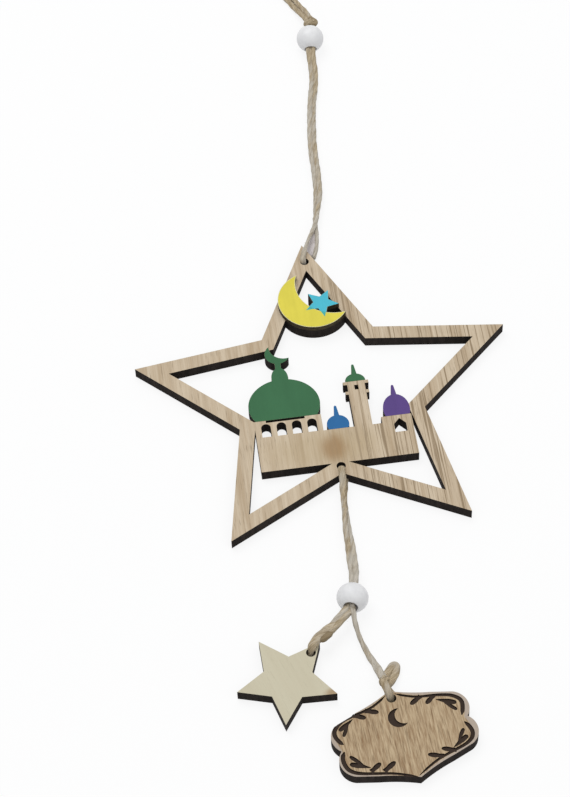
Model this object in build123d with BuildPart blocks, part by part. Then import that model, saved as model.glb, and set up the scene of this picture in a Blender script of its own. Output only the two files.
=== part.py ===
from build123d import *
import os
from math import asin, cos, degrees, hypot, pi, radians, sin, sqrt, tan

# A hanging holiday ornament laid face up on a table: a plywood star that frames a mosque
# skyline and a crescent, a twine hanger with a bead above it, and a bead, a small star and a
# carved plaque on twine below it. Millimetres. +Z is up out of the table, +Y is towards the
# hanger, and the origin is on the table under the middle of the laid-out plywood pieces.

os.makedirs("parts", exist_ok=True)

# Plywood star
sheet_thickness = 3.2
star_radius = 52.5
star_notch_radius = 25.8
frame_band = 4.0
star_middle = (0.0, 31.3)

# Twine, its holes and its beads
twine_diameter = 1.4
cord_hole_diameter = 2.4
top_hole_from_tip = 6.0
bottom_hole_from_notch = 2.3
bead_diameter = 8.0
bead_clearance = 0.25
bead_mouth_round = 0.3
knot_stop_gap = 0.3

# Mosque skyline, heights counted from its foot line
foot_overlap = 1.2
frame_overlap = 0.4
left_block_right_edge = -2.9
low_wall_height = 10.9
right_block_left_edge = 12.6
right_block_height = 12.9
minaret_middle = 7.7
minaret_width = 4.7
minaret_height = 25.7
corbel_height = 1.0
upper_corbel_width = 6.8
lower_corbel_width = 6.3
corbel_pitch = 3.2
minaret_window_width = 1.0
minaret_window_height = 1.5
minaret_window_drop = 1.3
arch_count = 4
arch_width = 2.5
arch_height = 4.2
arch_pitch = 4.05
arch_sill = 11.0
first_arch_inset = 2.9
slit_inset = 3.1
slit_length = 10.3
slit_height = 0.7
door_inset = 3.4
door_width = 3.2
door_sill = 7.5
door_side_height = 2.6
door_height = 4.4

# Domes: half width, belly height above the base, crown height above the belly
main_dome_half_width = 9.5
main_dome_belly = 4.4
main_dome_crown = 8.6
main_dome_inset = 9.1
bulb_half_width = 2.25
bulb_belly = 0.9
bulb_crown = 3.5
neck_half_width = 0.8
neck_height = 2.4
finial_radius = 3.35
finial_hollow_radius = 4.0
finial_shift = 3.0
finial_turn = 48.0
finial_side_offset = 0.3
side_dome_belly = 1.5
side_dome_half_width = 2.95
side_dome_crown = 2.9
side_dome_middle = 1.15
gate_dome_belly = 2.1
gate_dome_half_width = 3.55
gate_dome_crown = 4.8
cap_belly = 0.1
cap_half_width = 2.7
cap_crown = 2.4
spire_foot_half_width = 0.75
spire_tip_radius = 0.36
spire_height = 3.6
joint_sink = 0.5

# Crescent and its star, glued on as a thin second layer
moon_radius = 9.74
moon_hollow_radius = 10.6
moon_shift = 8.06
moon_turn = 38.5
moon_below_tip = 20.9
moon_side_offset = 0.46
moon_star_radius = 4.8
moon_star_notch_radius = 2.2
moon_star_turn = 59.5
moon_star_offset = (1.95, -1.5)
applique_thickness = 1.5

# Small star pendant, placed by its hole
small_star_radius = 12.75
small_star_notch_radius = 6.2
small_star_turn = 44.5
small_star_hole_from_tip = 3.55
small_star_hole = (-15.4, -46.4)

# Plaque pendant, placed by its hole
plaque_width = 34.4
plaque_height = 24.3
plaque_side_notch = 1.4
plaque_brow = (4.4, 10.35)
plaque_shoulder = (9.4, 8.9)
plaque_lobe_start = (14.5, 7.4)
plaque_lobe_height = 3.7
plaque_hole_from_tip = 2.05
plaque_turn = 9.4
plaque_hole = (2.0, -61.9)

# Beads, each with the way its cord runs through it
upper_bead_middle = (13.4, 163.7)
upper_bead_way = (0.09, 0.996, 0.0)
lower_bead_middle = (-3.1, -32.8)
lower_bead_way = (-0.16, -0.987, 0.0)

# Knots
hanger_knot_radius = 2.2
hanger_knot_length = 3.8
hanger_knot_height = 3.3
plaque_knot_radius = 1.6
plaque_knot_length = 3.0
knot_round = 1.0
plaque_knot_middle = (1.2, -57.0, 1.75)
plaque_knot_way = (0.2, -0.98, 0.0)

# Points where one length of cord turns on the next
hanger_pivot = (5.0, 91.8, 1.5)
drop_pivot = (-0.1, -1.7, 1.7)
star_strand_pivot = (-5.26, -37.75, 4.0)
small_star_pivot = (-10.6, -41.5, 3.2)
plaque_strand_pivot = (-2.58, -37.97, 4.0)
plaque_pivot = (0.75, -54.9, 1.4)
pivot_gap = 0.15

# Share of the shorter run that a cord's arc takes up
arc_share = 0.45

# Cord routes
hanger_eye_front = [
    (4.0, 90.2, 1.9),
    (2.6, 86.8, 3.3),
    (1.0, 83.0, 4.2),
    (0.15, 80.6, 4.25),
    (0.0, 77.85, 4.2),
    (0.05, 77.7, 0.5),
]
hanger_eye_back = [(4.9, 89.9, 1.3), (4.7, 86.1, 0.85), (3.6, 82.1, 0.75), (1.46, 79.2, 0.75)]
hanger_pair_route = [
    hanger_pivot,
    (6.6, 100.8, 1.45),
    (7.8, 111.3, 1.45),
    (8.1, 121.3, 1.45),
    (9.1, 130.8, 1.45),
    (10.5, 139.8, 1.75),
    (12.54, 154.1, 4.0),
    (13.84, 168.6, 4.0),
]
hanger_loop_route = [
    (13.2, 171.0, 3.0),
    (12.6, 173.6, 2.0),
    (10.9, 177.6, 1.0),
    (8.9, 183.0, 0.75),
    (5.4, 190.5, 0.75),
    (2.9, 199.0, 0.75),
    (2.0, 207.8, 0.75),
    (3.6, 215.0, 0.75),
    (8.0, 219.4, 0.75),
    (13.2, 218.0, 0.75),
    (15.6, 211.8, 0.75),
    (15.2, 203.4, 0.75),
    (13.0, 194.6, 0.75),
    (11.2, 186.6, 0.75),
    (11.4, 181.2, 0.8),
    (13.2, 176.4, 1.2),
    (14.7, 173.4, 2.1),
    (14.9, 171.0, 3.0),
]
drop_eye_front = [
    (0.05, 7.9, 0.5),
    (0.0, 7.75, 4.2),
    (-0.1, 5.0, 4.25),
    (-0.25, 2.4, 3.5),
    (-0.3, 0.2, 2.2),
]
drop_eye_back = [(0.95, 5.8, 0.75), (0.7, 2.7, 0.8), (0.35, 0.3, 1.3)]
drop_pair_route = [
    drop_pivot,
    (-0.5, -10.2, 1.5),
    (-1.56, -23.3, 4.0),
    (-3.64, -36.16, 4.0),
]
small_star_eye_front = [
    small_star_pivot,
    (-12.0, -43.1, 4.1),
    (-13.0, -44.2, 4.2),
    (-15.3, -46.3, 4.2),
    (-15.4, -46.4, 0.5),
]
small_star_eye_back = [
    small_star_pivot,
    (-10.9, -44.1, 1.6),
    (-12.0, -46.6, 0.75),
    (-15.2, -48.6, 0.75),
]
plaque_strand_route = [
    plaque_strand_pivot,
    (-3.1, -42.1, 2.3),
    (-2.5, -46.4, 1.0),
    (-1.1, -50.4, 0.75),
]
plaque_eye_front = [
    (1.4, -57.3, 2.2),
    (1.65, -58.4, 3.5),
    (1.8, -59.3, 4.2),
    (2.0, -61.75, 4.2),
    (2.05, -61.95, 0.5),
]
plaque_eye_back = [(1.6, -57.5, 1.4), (2.6, -59.2, 0.8), (3.6, -60.8, 0.75)]
bow_route = [
    (1.4, -56.2, 1.7),
    (2.2, -54.6, 1.3),
    (2.9, -52.7, 0.9),
    (4.0, -51.0, 0.75),
    (5.6, -51.3, 0.75),
    (5.9, -53.0, 0.75),
    (4.5, -55.4, 1.1),
    (1.9, -57.9, 1.6),
]

# Sizes that follow from the ones above
pair_diameter = 2 * twine_diameter
bead_bore = pair_diameter + 2 * bead_clearance
bead_height = bead_diameter / 2
edge_length = hypot(
    star_radius - star_notch_radius * cos(radians(36)), star_notch_radius * sin(radians(36))
)
edge_distance = star_radius * star_notch_radius * sin(radians(36)) / edge_length
window_scale = 1 - frame_band / edge_distance
inner_tip_radius = star_radius * window_scale
inner_notch_radius = star_notch_radius * window_scale
wall_reach = inner_notch_radius * cos(radians(18)) + frame_overlap
block_top = -inner_notch_radius * sin(radians(18)) + frame_overlap
foot_line = -inner_notch_radius - foot_overlap
low_wall_top = foot_line + low_wall_height
right_block_top = foot_line + right_block_height
minaret_top = foot_line + minaret_height
main_dome_middle = left_block_right_edge - main_dome_inset
bulb_foot = block_top + main_dome_belly + main_dome_crown - joint_sink
neck_foot = bulb_foot + bulb_belly + bulb_crown - joint_sink
neck_top = neck_foot + neck_height
finial_middle = (main_dome_middle + finial_side_offset, neck_top + finial_radius - joint_sink)
gate_dome_middle = wall_reach - gate_dome_half_width
moon_middle = (moon_side_offset, star_radius - moon_below_tip)
moon_star_middle = (moon_middle[0] + moon_star_offset[0], moon_middle[1] + moon_star_offset[1])
star_plane = Plane((*star_middle, 0))
applique_plane = star_plane.offset(sheet_thickness)


def star_points(tip_radius, notch_radius, first_tip):
    """Corners of a five-pointed star, tips and notches in turn, from one tip's angle."""
    corners = []
    for corner in range(10):
        radius = notch_radius if corner % 2 else tip_radius
        angle = radians(first_tip + 36 * corner)
        corners.append((radius * cos(angle), radius * sin(angle)))
    return corners


def draw_crescent(middle, radius, hollow_radius, shift, turn):
    """A crescent: a disc less a second disc that is shifted from it towards one side."""
    horn_along = (shift**2 + radius**2 - hollow_radius**2) / (2 * shift)
    horn_aside = sqrt(radius**2 - horn_along**2)
    left_horn = (horn_along, horn_aside)
    right_horn = (horn_along, -horn_aside)
    with BuildLine(Plane((*middle, 0)).rotated((0, 0, turn))) as outline:
        ThreePointArc(left_horn, (-radius, 0), right_horn)
        ThreePointArc(right_horn, (shift - hollow_radius, 0), left_horn)
    make_face(outline.edges())


def draw_dome(middle, base, half_width, belly, crown):
    """A dome's front: an ellipse that is widest at the belly and cut off at the base."""
    foot = degrees(asin(-belly / crown))
    with BuildLine() as outline:
        rim = EllipticalCenterArc(
            (middle, base + belly), half_width, crown, foot, arc_size=180 - 2 * foot
        )
        Line(rim @ 1, rim @ 0)
    make_face(outline.edges())


def draw_spire(middle, foot):
    """A tapered spire with a round tip."""
    tip = foot + spire_height - spire_tip_radius
    with BuildLine() as outline:
        Polyline(
            (middle - spire_foot_half_width, foot),
            (middle + spire_foot_half_width, foot),
            (middle + spire_tip_radius, tip),
            (middle - spire_tip_radius, tip),
            close=True,
        )
    make_face(outline.edges())
    with Locations((middle, tip)):
        Circle(spire_tip_radius)


def draw_spired_dome(middle, base, half_width, belly, crown):
    """A dome with a spire that stands a little way down into its crown."""
    draw_dome(middle, base, half_width, belly, crown)
    draw_spire(middle, base + belly + crown - joint_sink)


def draw_block(left, right, bottom, top, mode=Mode.ADD):
    """An upright rectangle between four edges."""
    with Locations((left, bottom)):
        Rectangle(right - left, top - bottom, align=Align.MIN, mode=mode)


def draw_bar(middle, width, bottom, top, mode=Mode.ADD):
    """An upright rectangle about its middle line."""
    draw_block(middle - width / 2, middle + width / 2, bottom, top, mode)


def cut_arch(middle, sill):
    """A window with straight sides and a round head."""
    spring = sill + arch_height - arch_width / 2
    draw_bar(middle, arch_width, sill, spring, Mode.SUBTRACT)
    with Locations((middle, spring)):
        Circle(arch_width / 2, mode=Mode.SUBTRACT)


def cut_door(middle, sill):
    """A doorway with straight sides and a pointed head."""
    left = middle - door_width / 2
    right = middle + door_width / 2
    spring = sill + door_side_height
    with BuildLine() as outline:
        Polyline(
            (left, spring),
            (left, sill),
            (right, sill),
            (right, spring),
            (middle, sill + door_height),
            close=True,
        )
    make_face(outline.edges(), mode=Mode.SUBTRACT)


def draw_moon():
    """The crescent with the little star that stands in its hollow."""
    draw_crescent(moon_middle, moon_radius, moon_hollow_radius, moon_shift, moon_turn)
    with Locations(moon_star_middle):
        Polygon(*star_points(moon_star_radius, moon_star_notch_radius, moon_star_turn))


def bend_radii(route):
    """The largest tangent arc that the two runs at each corner leave room for."""
    points = [Vector(*point) for point in route]
    radii = []
    for before, corner, after in zip(points, points[1:], points[2:]):
        arriving = corner - before
        leaving = after - corner
        half_turn = radians(arriving.get_angle(leaving)) / 2
        radii.append(arc_share * min(arriving.length, leaving.length) / tan(half_turn))
    return radii


def lay_cord(name, route, diameter):
    """Sweep a round cord along straight runs joined by tangent arcs, and print its figures."""
    radii = bend_radii(route)
    with BuildLine() as path:
        if radii:
            FilletPolyline(*route, radius=radii)
        else:
            Line(*route)
    with BuildSketch(Plane(path.line @ 0, z_dir=path.line % 0)) as section:
        Circle(diameter / 2)
    cord = sweep(section.sketch, path.line)
    length = path.wire().length
    fill = cord.volume / (pi * diameter**2 / 4 * length)
    shown = ", ".join(f"{radius:.1f}" for radius in radii)
    print(f"{name}: length {length:.1f}, volume {fill:.4f} of section times length, radii {shown}")


def round_end(pivot, diameter):
    """The ball end that a cord turns on."""
    with Locations(pivot):
        Sphere(diameter / 2)


def stop_short(start, pivot, diameter):
    """Where a cord from start ends, just clear of the ball end that turns at the pivot."""
    way = (Vector(*pivot) - Vector(*start)).normalized()
    return Vector(*pivot) - way * (diameter / 2 + pivot_gap)


def lay_knot(middle, way, radius, length):
    """A wrapped knot: a short barrel with rounded ends."""
    with BuildPart(Plane(middle, z_dir=way)) as knot:
        Cylinder(radius, length)
        fillet(knot.edges().filter_by(GeomType.CIRCLE), knot_round)
    return knot


def turn_bead(middle, way):
    """A round bead with a bore along the cord and eased mouths."""
    with BuildPart(Plane((*middle, bead_height), z_dir=way)) as bead:
        Sphere(bead_diameter / 2)
        Cylinder(bead_bore / 2, bead_diameter, mode=Mode.SUBTRACT)
        mouths = bead.edges().filter_by(lambda edge: edge.is_closed)
        fillet(mouths, bead_mouth_round)
    return bead


def keep(piece, name):
    """Name a finished piece and write it out."""
    piece.part.label = name
    export_step(piece.part, f"parts/{name}.step")


# Star with the skyline and the crescent, one sheet
with BuildPart() as star_plate:
    with BuildSketch(star_plane):
        Polygon(*star_points(star_radius, star_notch_radius, 90))
        Polygon(*star_points(inner_tip_radius, inner_notch_radius, 90), mode=Mode.SUBTRACT)
        draw_block(-wall_reach, left_block_right_edge, foot_line, block_top)
        draw_block(left_block_right_edge, right_block_left_edge, foot_line, low_wall_top)
        draw_block(right_block_left_edge, wall_reach, foot_line, right_block_top)
        draw_bar(minaret_middle, minaret_width, foot_line, minaret_top)
        draw_bar(minaret_middle, upper_corbel_width, minaret_top - corbel_height, minaret_top)
        draw_bar(
            minaret_middle,
            lower_corbel_width,
            minaret_top - corbel_height - corbel_pitch,
            minaret_top - corbel_pitch,
        )
        draw_dome(
            main_dome_middle, block_top, main_dome_half_width, main_dome_belly, main_dome_crown
        )
        draw_dome(main_dome_middle, bulb_foot, bulb_half_width, bulb_belly, bulb_crown)
        draw_bar(main_dome_middle, 2 * neck_half_width, neck_foot, neck_top)
        draw_crescent(
            finial_middle, finial_radius, finial_hollow_radius, finial_shift, finial_turn
        )
        draw_spired_dome(
            side_dome_middle, low_wall_top, side_dome_half_width, side_dome_belly, side_dome_crown
        )
        draw_spired_dome(
            gate_dome_middle,
            right_block_top,
            gate_dome_half_width,
            gate_dome_belly,
            gate_dome_crown,
        )
        draw_spired_dome(minaret_middle, minaret_top, cap_half_width, cap_belly, cap_crown)
        draw_moon()
        for arch in range(arch_count):
            cut_arch(-wall_reach + first_arch_inset + arch * arch_pitch, foot_line + arch_sill)
        draw_block(
            -wall_reach + slit_inset,
            -wall_reach + slit_inset + slit_length,
            block_top - slit_height,
            block_top,
            Mode.SUBTRACT,
        )
        draw_bar(
            minaret_middle,
            minaret_window_width,
            minaret_top - minaret_window_drop - minaret_window_height,
            minaret_top - minaret_window_drop,
            Mode.SUBTRACT,
        )
        cut_door(wall_reach - door_inset, foot_line + door_sill)
        with Locations(
            (0, star_radius - top_hole_from_tip), (0, bottom_hole_from_notch - star_notch_radius)
        ):
            Circle(cord_hole_diameter / 2, mode=Mode.SUBTRACT)
    extrude(amount=sheet_thickness)
keep(star_plate, "star_plate")

# Crescent layer glued on the front of the sheet
with BuildPart() as moon_applique:
    with BuildSketch(applique_plane):
        draw_moon()
    extrude(amount=applique_thickness)
keep(moon_applique, "moon_applique")

# Small star pendant
small_star_plane = Plane((*small_star_hole, 0)).rotated((0, 0, small_star_turn))
small_star_hole_along = small_star_radius - small_star_hole_from_tip
with BuildPart() as small_star:
    with BuildSketch(small_star_plane):
        with Locations((-small_star_hole_along, 0)):
            Polygon(*star_points(small_star_radius, small_star_notch_radius, 0))
        Circle(cord_hole_diameter / 2, mode=Mode.SUBTRACT)
    extrude(amount=sheet_thickness)
keep(small_star, "small_star")

# Plaque pendant with a lobed outline, the same in all four quarters
plaque_hole_up = plaque_height / 2 - plaque_hole_from_tip
plaque_middle = (
    plaque_hole[0] + plaque_hole_up * sin(radians(plaque_turn)),
    plaque_hole[1] - plaque_hole_up * cos(radians(plaque_turn)),
)
with BuildPart() as plaque:
    with BuildSketch(Plane((*plaque_middle, 0)).rotated((0, 0, plaque_turn))):
        with BuildLine():
            ThreePointArc((0, plaque_height / 2), plaque_brow, plaque_shoulder)
            Line(plaque_shoulder, plaque_lobe_start)
            ThreePointArc(
                plaque_lobe_start,
                (plaque_width / 2, plaque_lobe_height),
                (plaque_width / 2 - plaque_side_notch, 0),
            )
            mirror(about=Plane.YZ)
            mirror(about=Plane.XZ)
        make_face()
        with Locations((0, plaque_hole_up)):
            Circle(cord_hole_diameter / 2, mode=Mode.SUBTRACT)
    extrude(amount=sheet_thickness)
keep(plaque, "plaque")

# Beads and the knot that stops the upper one
upper_bead = turn_bead(upper_bead_middle, upper_bead_way)
keep(upper_bead, "upper_bead")
lower_bead = turn_bead(lower_bead_middle, lower_bead_way)
keep(lower_bead, "lower_bead")
knot_past_bead = bead_diameter / 2 + knot_stop_gap + hanger_knot_length / 2
hanger_knot_middle = (
    upper_bead_middle[0] + knot_past_bead * upper_bead_way[0],
    upper_bead_middle[1] + knot_past_bead * upper_bead_way[1],
    hanger_knot_height,
)
hanger_knot = lay_knot(
    hanger_knot_middle, upper_bead_way, hanger_knot_radius, hanger_knot_length
)
keep(hanger_knot, "hanger_knot")

# Twine round the star's top tip, then the twisted pair and the hanging loop above it
with BuildPart() as hanger_eye:
    lay_cord("hanger eye, front", hanger_eye_front, twine_diameter)
    lay_cord("hanger eye, back", hanger_eye_back, twine_diameter)
    add(star_plate.part, mode=Mode.SUBTRACT)
keep(hanger_eye, "hanger_eye")
with BuildPart() as hanger_pair:
    lay_cord("hanger pair", hanger_pair_route, pair_diameter)
    round_end(hanger_pivot, pair_diameter)
    add(hanger_knot.part, mode=Mode.SUBTRACT)
keep(hanger_pair, "hanger_pair")
with BuildPart() as hanger_loop:
    lay_cord("hanger loop", hanger_loop_route, twine_diameter)
    add(hanger_knot.part, mode=Mode.SUBTRACT)
keep(hanger_loop, "hanger_loop")

# Twine round the star's lower notch and the twisted pair that drops from it
with BuildPart() as drop_eye:
    lay_cord("drop eye, front", drop_eye_front, twine_diameter)
    lay_cord("drop eye, back", drop_eye_back, twine_diameter)
    add(star_plate.part, mode=Mode.SUBTRACT)
keep(drop_eye, "drop_eye")
with BuildPart() as drop_pair:
    lay_cord("drop pair", drop_pair_route, pair_diameter)
    round_end(drop_pivot, pair_diameter)
keep(drop_pair, "drop_pair")

# Doubled strand to the small star and the eye in its tip
star_strand_end = stop_short(star_strand_pivot, small_star_pivot, pair_diameter)
with BuildPart() as star_strand:
    lay_cord("star strand", [star_strand_pivot, star_strand_end], pair_diameter)
    round_end(star_strand_pivot, pair_diameter)
keep(star_strand, "star_strand")
with BuildPart() as small_star_eye:
    lay_cord("small star eye, front", small_star_eye_front, twine_diameter)
    lay_cord("small star eye, back", small_star_eye_back, twine_diameter)
    round_end(small_star_pivot, pair_diameter)
    add(small_star.part, mode=Mode.SUBTRACT)
keep(small_star_eye, "small_star_eye")

# Single strand to the plaque and the tie with a bow at its hole
plaque_strand_end = stop_short(plaque_strand_route[-1], plaque_pivot, twine_diameter)
with BuildPart() as plaque_strand:
    lay_cord("plaque strand", [*plaque_strand_route, plaque_strand_end], twine_diameter)
    round_end(plaque_strand_pivot, twine_diameter)
keep(plaque_strand, "plaque_strand")
plaque_knot = lay_knot(
    plaque_knot_middle, plaque_knot_way, plaque_knot_radius, plaque_knot_length
)
with BuildPart() as plaque_tie:
    add(plaque_knot.part)
    round_end(plaque_pivot, twine_diameter)
    lay_cord("plaque tie, front", plaque_eye_front, twine_diameter)
    lay_cord("plaque tie, back", plaque_eye_back, twine_diameter)
    lay_cord("plaque tie, bow", bow_route, twine_diameter)
    add(plaque.part, mode=Mode.SUBTRACT)
keep(plaque_tie, "plaque_tie")
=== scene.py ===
import bmesh
import bpy
import numpy as np
from mathutils import Matrix, Vector


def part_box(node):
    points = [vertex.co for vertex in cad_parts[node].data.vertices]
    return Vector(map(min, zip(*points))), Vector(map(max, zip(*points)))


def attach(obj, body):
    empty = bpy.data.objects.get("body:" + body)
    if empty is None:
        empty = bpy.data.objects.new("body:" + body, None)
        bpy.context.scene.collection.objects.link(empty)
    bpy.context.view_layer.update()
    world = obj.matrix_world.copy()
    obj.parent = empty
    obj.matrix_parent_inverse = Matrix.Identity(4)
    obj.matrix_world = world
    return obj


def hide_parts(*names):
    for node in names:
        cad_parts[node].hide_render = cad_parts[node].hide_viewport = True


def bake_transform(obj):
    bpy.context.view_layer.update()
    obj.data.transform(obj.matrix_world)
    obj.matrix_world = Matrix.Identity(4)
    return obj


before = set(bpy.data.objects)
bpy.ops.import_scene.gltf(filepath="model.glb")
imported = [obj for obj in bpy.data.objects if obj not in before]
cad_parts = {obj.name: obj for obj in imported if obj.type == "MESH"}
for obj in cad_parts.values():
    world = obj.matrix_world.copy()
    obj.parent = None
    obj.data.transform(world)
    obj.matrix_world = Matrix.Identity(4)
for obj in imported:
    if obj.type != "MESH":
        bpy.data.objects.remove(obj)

bl_info = {
    "name": "Plywood star ornament",
    "version": (1, 0, 0),
    "blender": (4, 5, 0),
    "location": "3D View > Sidebar > Ornament",
    "description": "Dresses a laser-cut star ornament in wood, paint, beads and jute twine",
    "category": "Object",
}

MM = 0.001
FULL_TURN = 2 * np.pi
UP = np.array((0.0, 0.0, 1.0))
WHITE = (1.0, 1.0, 1.0, 1.0)
SHEET_TOP = float(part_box("star_plate")[1][2])
APPLIQUE_TOP = float(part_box("moon_applique")[1][2])
STAR_MIDDLE = np.array((0.0, 31.3))

# Camera: azimuth, elevation and roll in degrees, place in metres, lens in millimetres
CAMERA_ANGLES = (-5.16, 52.90, -2.94)
CAMERA_PLACE = (-0.0451, -0.3403, 0.4970)
CAMERA_LENS = 105.8
# Table: half its width and its height in metres, and the share that is plain white to the camera
TABLE_REACH = 4.0
TABLE_LEVEL = -0.00003
TABLE_GLOW = 0.84
# Point that the lamps face
LAMP_AIM = (0.0, 0.03, 0.0)
# Twine: sides of a strand, its lowest level, the length cut off a pair where its eye begins, and
# the strands' distance from the pair's middle as a share of their width
STRAND_SIDES = 18
TWINE_FLOOR = 0.00003
PAIR_TRIM = 0.0028
PAIR_OFFSET = 0.40
# Paint: depth of a film in the wood and its step over another film in metres, and how far it stays
# inside the cut edge in millimetres
FILM_SINK = 0.00002
FILM_STEP = 0.00001
FILM_INSET = 0.02
# The crescent's paint stays further in, so the layer's pale top shows round it as a painted highlight
MOON_INSET = 0.14
# Wood: thickness of one ply
PLY = 0.00107


def from_srgb(red, green, blue):
    """A colour as a paint chart gives it, 0 to 255, as the linear values that shaders use."""
    values = np.array((red, green, blue)) / 255.0
    linear = np.where(values <= 0.04045, values / 12.92, ((values + 0.055) / 1.055) ** 2.4)
    return tuple(float(value) for value in linear)


# Cord routes in metres, the control points of each cord's spline

HANGER_EYE_FRONT = [
    (0.0059, 0.0954, 0.00195), (0.0054, 0.0933, 0.00215), (0.00475, 0.0915, 0.0022),
    (0.00385, 0.0894, 0.00235), (0.0024, 0.0862, 0.0031), (0.00105, 0.0826, 0.00395),
    (0.0001, 0.0801, 0.004), (-0.00045, 0.0783, 0.0038), (-0.00035, 0.0778, 0.0026),
    (-0.0002, 0.0777, 0.0005),
]
HANGER_EYE_WEB = [
    (0.0045, 0.0903, 0.0012), (0.0039, 0.0883, 0.0012), (0.00305, 0.0857, 0.0012),
    (0.00225, 0.0833, 0.0012), (0.00185, 0.0812, 0.0011),
]
HANGER_EYE_BACK = [
    (0.0053, 0.0955, 0.00095), (0.0051, 0.0933, 0.00085), (0.005, 0.0915, 0.00085),
    (0.0049, 0.0898, 0.0012), (0.00475, 0.087, 0.0014), (0.0042, 0.084, 0.0013),
    (0.0034, 0.0816, 0.0011), (0.00265, 0.0801, 0.001),
]
HANGER_PAIR = [
    (0.005, 0.0918, 0.0015), (0.0061, 0.0976, 0.00145), (0.00745, 0.1036, 0.00145),
    (0.008, 0.112, 0.00145), (0.0082, 0.1213, 0.00145), (0.00925, 0.1308, 0.00145),
    (0.0104, 0.1388, 0.00145), (0.0116, 0.1442, 0.00145), (0.01255, 0.149, 0.00145),
    (0.01281, 0.15351, 0.0021), (0.01277, 0.15613, 0.0028), (0.01308, 0.15976, 0.0036),
    (0.0134, 0.1633, 0.0045), (0.01376, 0.16728, 0.0051),
]
HANGER_LOOP = [
    (0.01355, 0.1676, 0.0053), (0.01334, 0.1694, 0.0047), (0.01353, 0.17158, 0.00375),
    (0.01328, 0.17343, 0.0028), (0.01247, 0.17642, 0.00175), (0.01157, 0.1787, 0.00115),
    (0.01049, 0.18122, 0.0008), (0.00934, 0.1838, 0.00075), (0.008, 0.1866, 0.00075),
    (0.0054, 0.1918, 0.00075), (0.0032, 0.1986, 0.00075), (0.002, 0.2074, 0.00075),
    (0.0036, 0.2146, 0.00075), (0.008, 0.219, 0.00075), (0.0132, 0.2176, 0.00075),
    (0.0156, 0.2114, 0.00075), (0.0152, 0.2032, 0.00075), (0.0126, 0.1962, 0.00075),
    (0.0103, 0.1906, 0.00075), (0.01005, 0.1872, 0.00075), (0.01105, 0.1844, 0.00075),
    (0.01218, 0.18172, 0.0008), (0.01315, 0.17929, 0.00115), (0.01395, 0.17682, 0.0018),
    (0.01459, 0.17367, 0.00275), (0.01486, 0.17158, 0.00365), (0.01474, 0.1694, 0.0046),
    (0.0144, 0.1676, 0.0053),
]
HANGER_KNOT_TURN = [
    (0.014, 0.1715, 0.0044), (0.015, 0.171, 0.0045), (0.0157, 0.1697, 0.0047),
    (0.01572, 0.1685, 0.005), (0.015, 0.1676, 0.0054), (0.0139, 0.1676, 0.0059),
]
DROP_EYE_FRONT = [
    (0.0, 0.00797, 0.0005), (0.0, 0.00756, 0.0026), (-0.00005, 0.0066, 0.00378),
    (-0.00015, 0.0049, 0.00393), (-0.00035, 0.0026, 0.00355), (-0.0006, 0.0006, 0.0025),
    (-0.00078, -0.0015, 0.0023), (-0.00098, -0.004, 0.00205), (-0.0011, -0.0065, 0.0017),
    (-0.00112, -0.009, 0.00145),
]
DROP_EYE_BACK = [
    (0.00085, 0.0058, 0.00075), (0.00035, 0.0027, 0.0008), (-0.0002, 0.0003, 0.00085),
    (-0.00055, -0.0018, 0.00095), (-0.0007, -0.004, 0.00095), (-0.0007, -0.006, 0.00095),
]
DROP_PAIR = [
    (-0.0004, -0.0017, 0.0017), (-0.00118, -0.0075, 0.00145), (-0.00118, -0.014, 0.00145),
    (-0.00135, -0.0209, 0.00205), (-0.00165, -0.0261, 0.00335), (-0.0024, -0.0293, 0.00385),
    (-0.00325, -0.0329, 0.00415), (-0.0042, -0.0359, 0.0044),
]
STAR_STRAND = [
    (-0.00385, -0.0347, 0.004), (-0.00455, -0.0363, 0.00422), (-0.0055, -0.0372, 0.0044),
    (-0.00766, -0.03923, 0.00435), (-0.0099, -0.0411, 0.00385), (-0.0113, -0.0422, 0.0036),
]
SMALL_STAR_EYE_FRONT = [
    (-0.0076, -0.0391, 0.0043), (-0.0101, -0.04075, 0.00405), (-0.0123, -0.04238, 0.00405),
    (-0.01395, -0.04385, 0.00405), (-0.01528, -0.04555, 0.004), (-0.0157, -0.0465, 0.0005),
]
SMALL_STAR_TURN = [
    (-0.00965, -0.0421, 0.004), (-0.01042, -0.04285, 0.00455), (-0.0114, -0.04365, 0.00475),
    (-0.01215, -0.044, 0.0045), (-0.01275, -0.04395, 0.00385),
]
SMALL_STAR_EYE_BACK = [
    (-0.0088, -0.0403, 0.0035), (-0.01, -0.0413, 0.0033), (-0.0112, -0.0423, 0.003),
    (-0.01215, -0.0431, 0.0026),
]
PLAQUE_STRAND = [
    (-0.00385, -0.0347, 0.004), (-0.00375, -0.03625, 0.0044), (-0.0035, -0.0372, 0.00435),
    (-0.00355, -0.0391, 0.00385), (-0.0033, -0.0416, 0.00285), (-0.0027, -0.04415, 0.0019),
    (-0.00162, -0.04756, 0.00115), (0.00005, -0.0516, 0.001), (0.00085, -0.0544, 0.0015),
    (0.00112, -0.0557, 0.00175),
]
PLAQUE_EYE_FRONT = [
    (0.00085, -0.056, 0.0022), (0.00095, -0.0576, 0.0033), (0.0011, -0.0588, 0.004),
    (0.00155, -0.0609, 0.004), (0.00215, -0.06185, 0.0005),
]
PLAQUE_EYE_BACK = [
    (0.0013, -0.0567, 0.0014), (0.0024, -0.0588, 0.0008), (0.0036, -0.0608, 0.00075),
]
BOW = [
    (0.00095, -0.056, 0.0017), (0.0015, -0.0551, 0.0013), (0.00225, -0.05385, 0.001),
    (0.0031, -0.05255, 0.0009), (0.00425, -0.05138, 0.0009), (0.00505, -0.05195, 0.0009),
    (0.00465, -0.0532, 0.00095), (0.00385, -0.0548, 0.0011), (0.00285, -0.0564, 0.0014),
    (0.0016, -0.0576, 0.0016),
]

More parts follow.
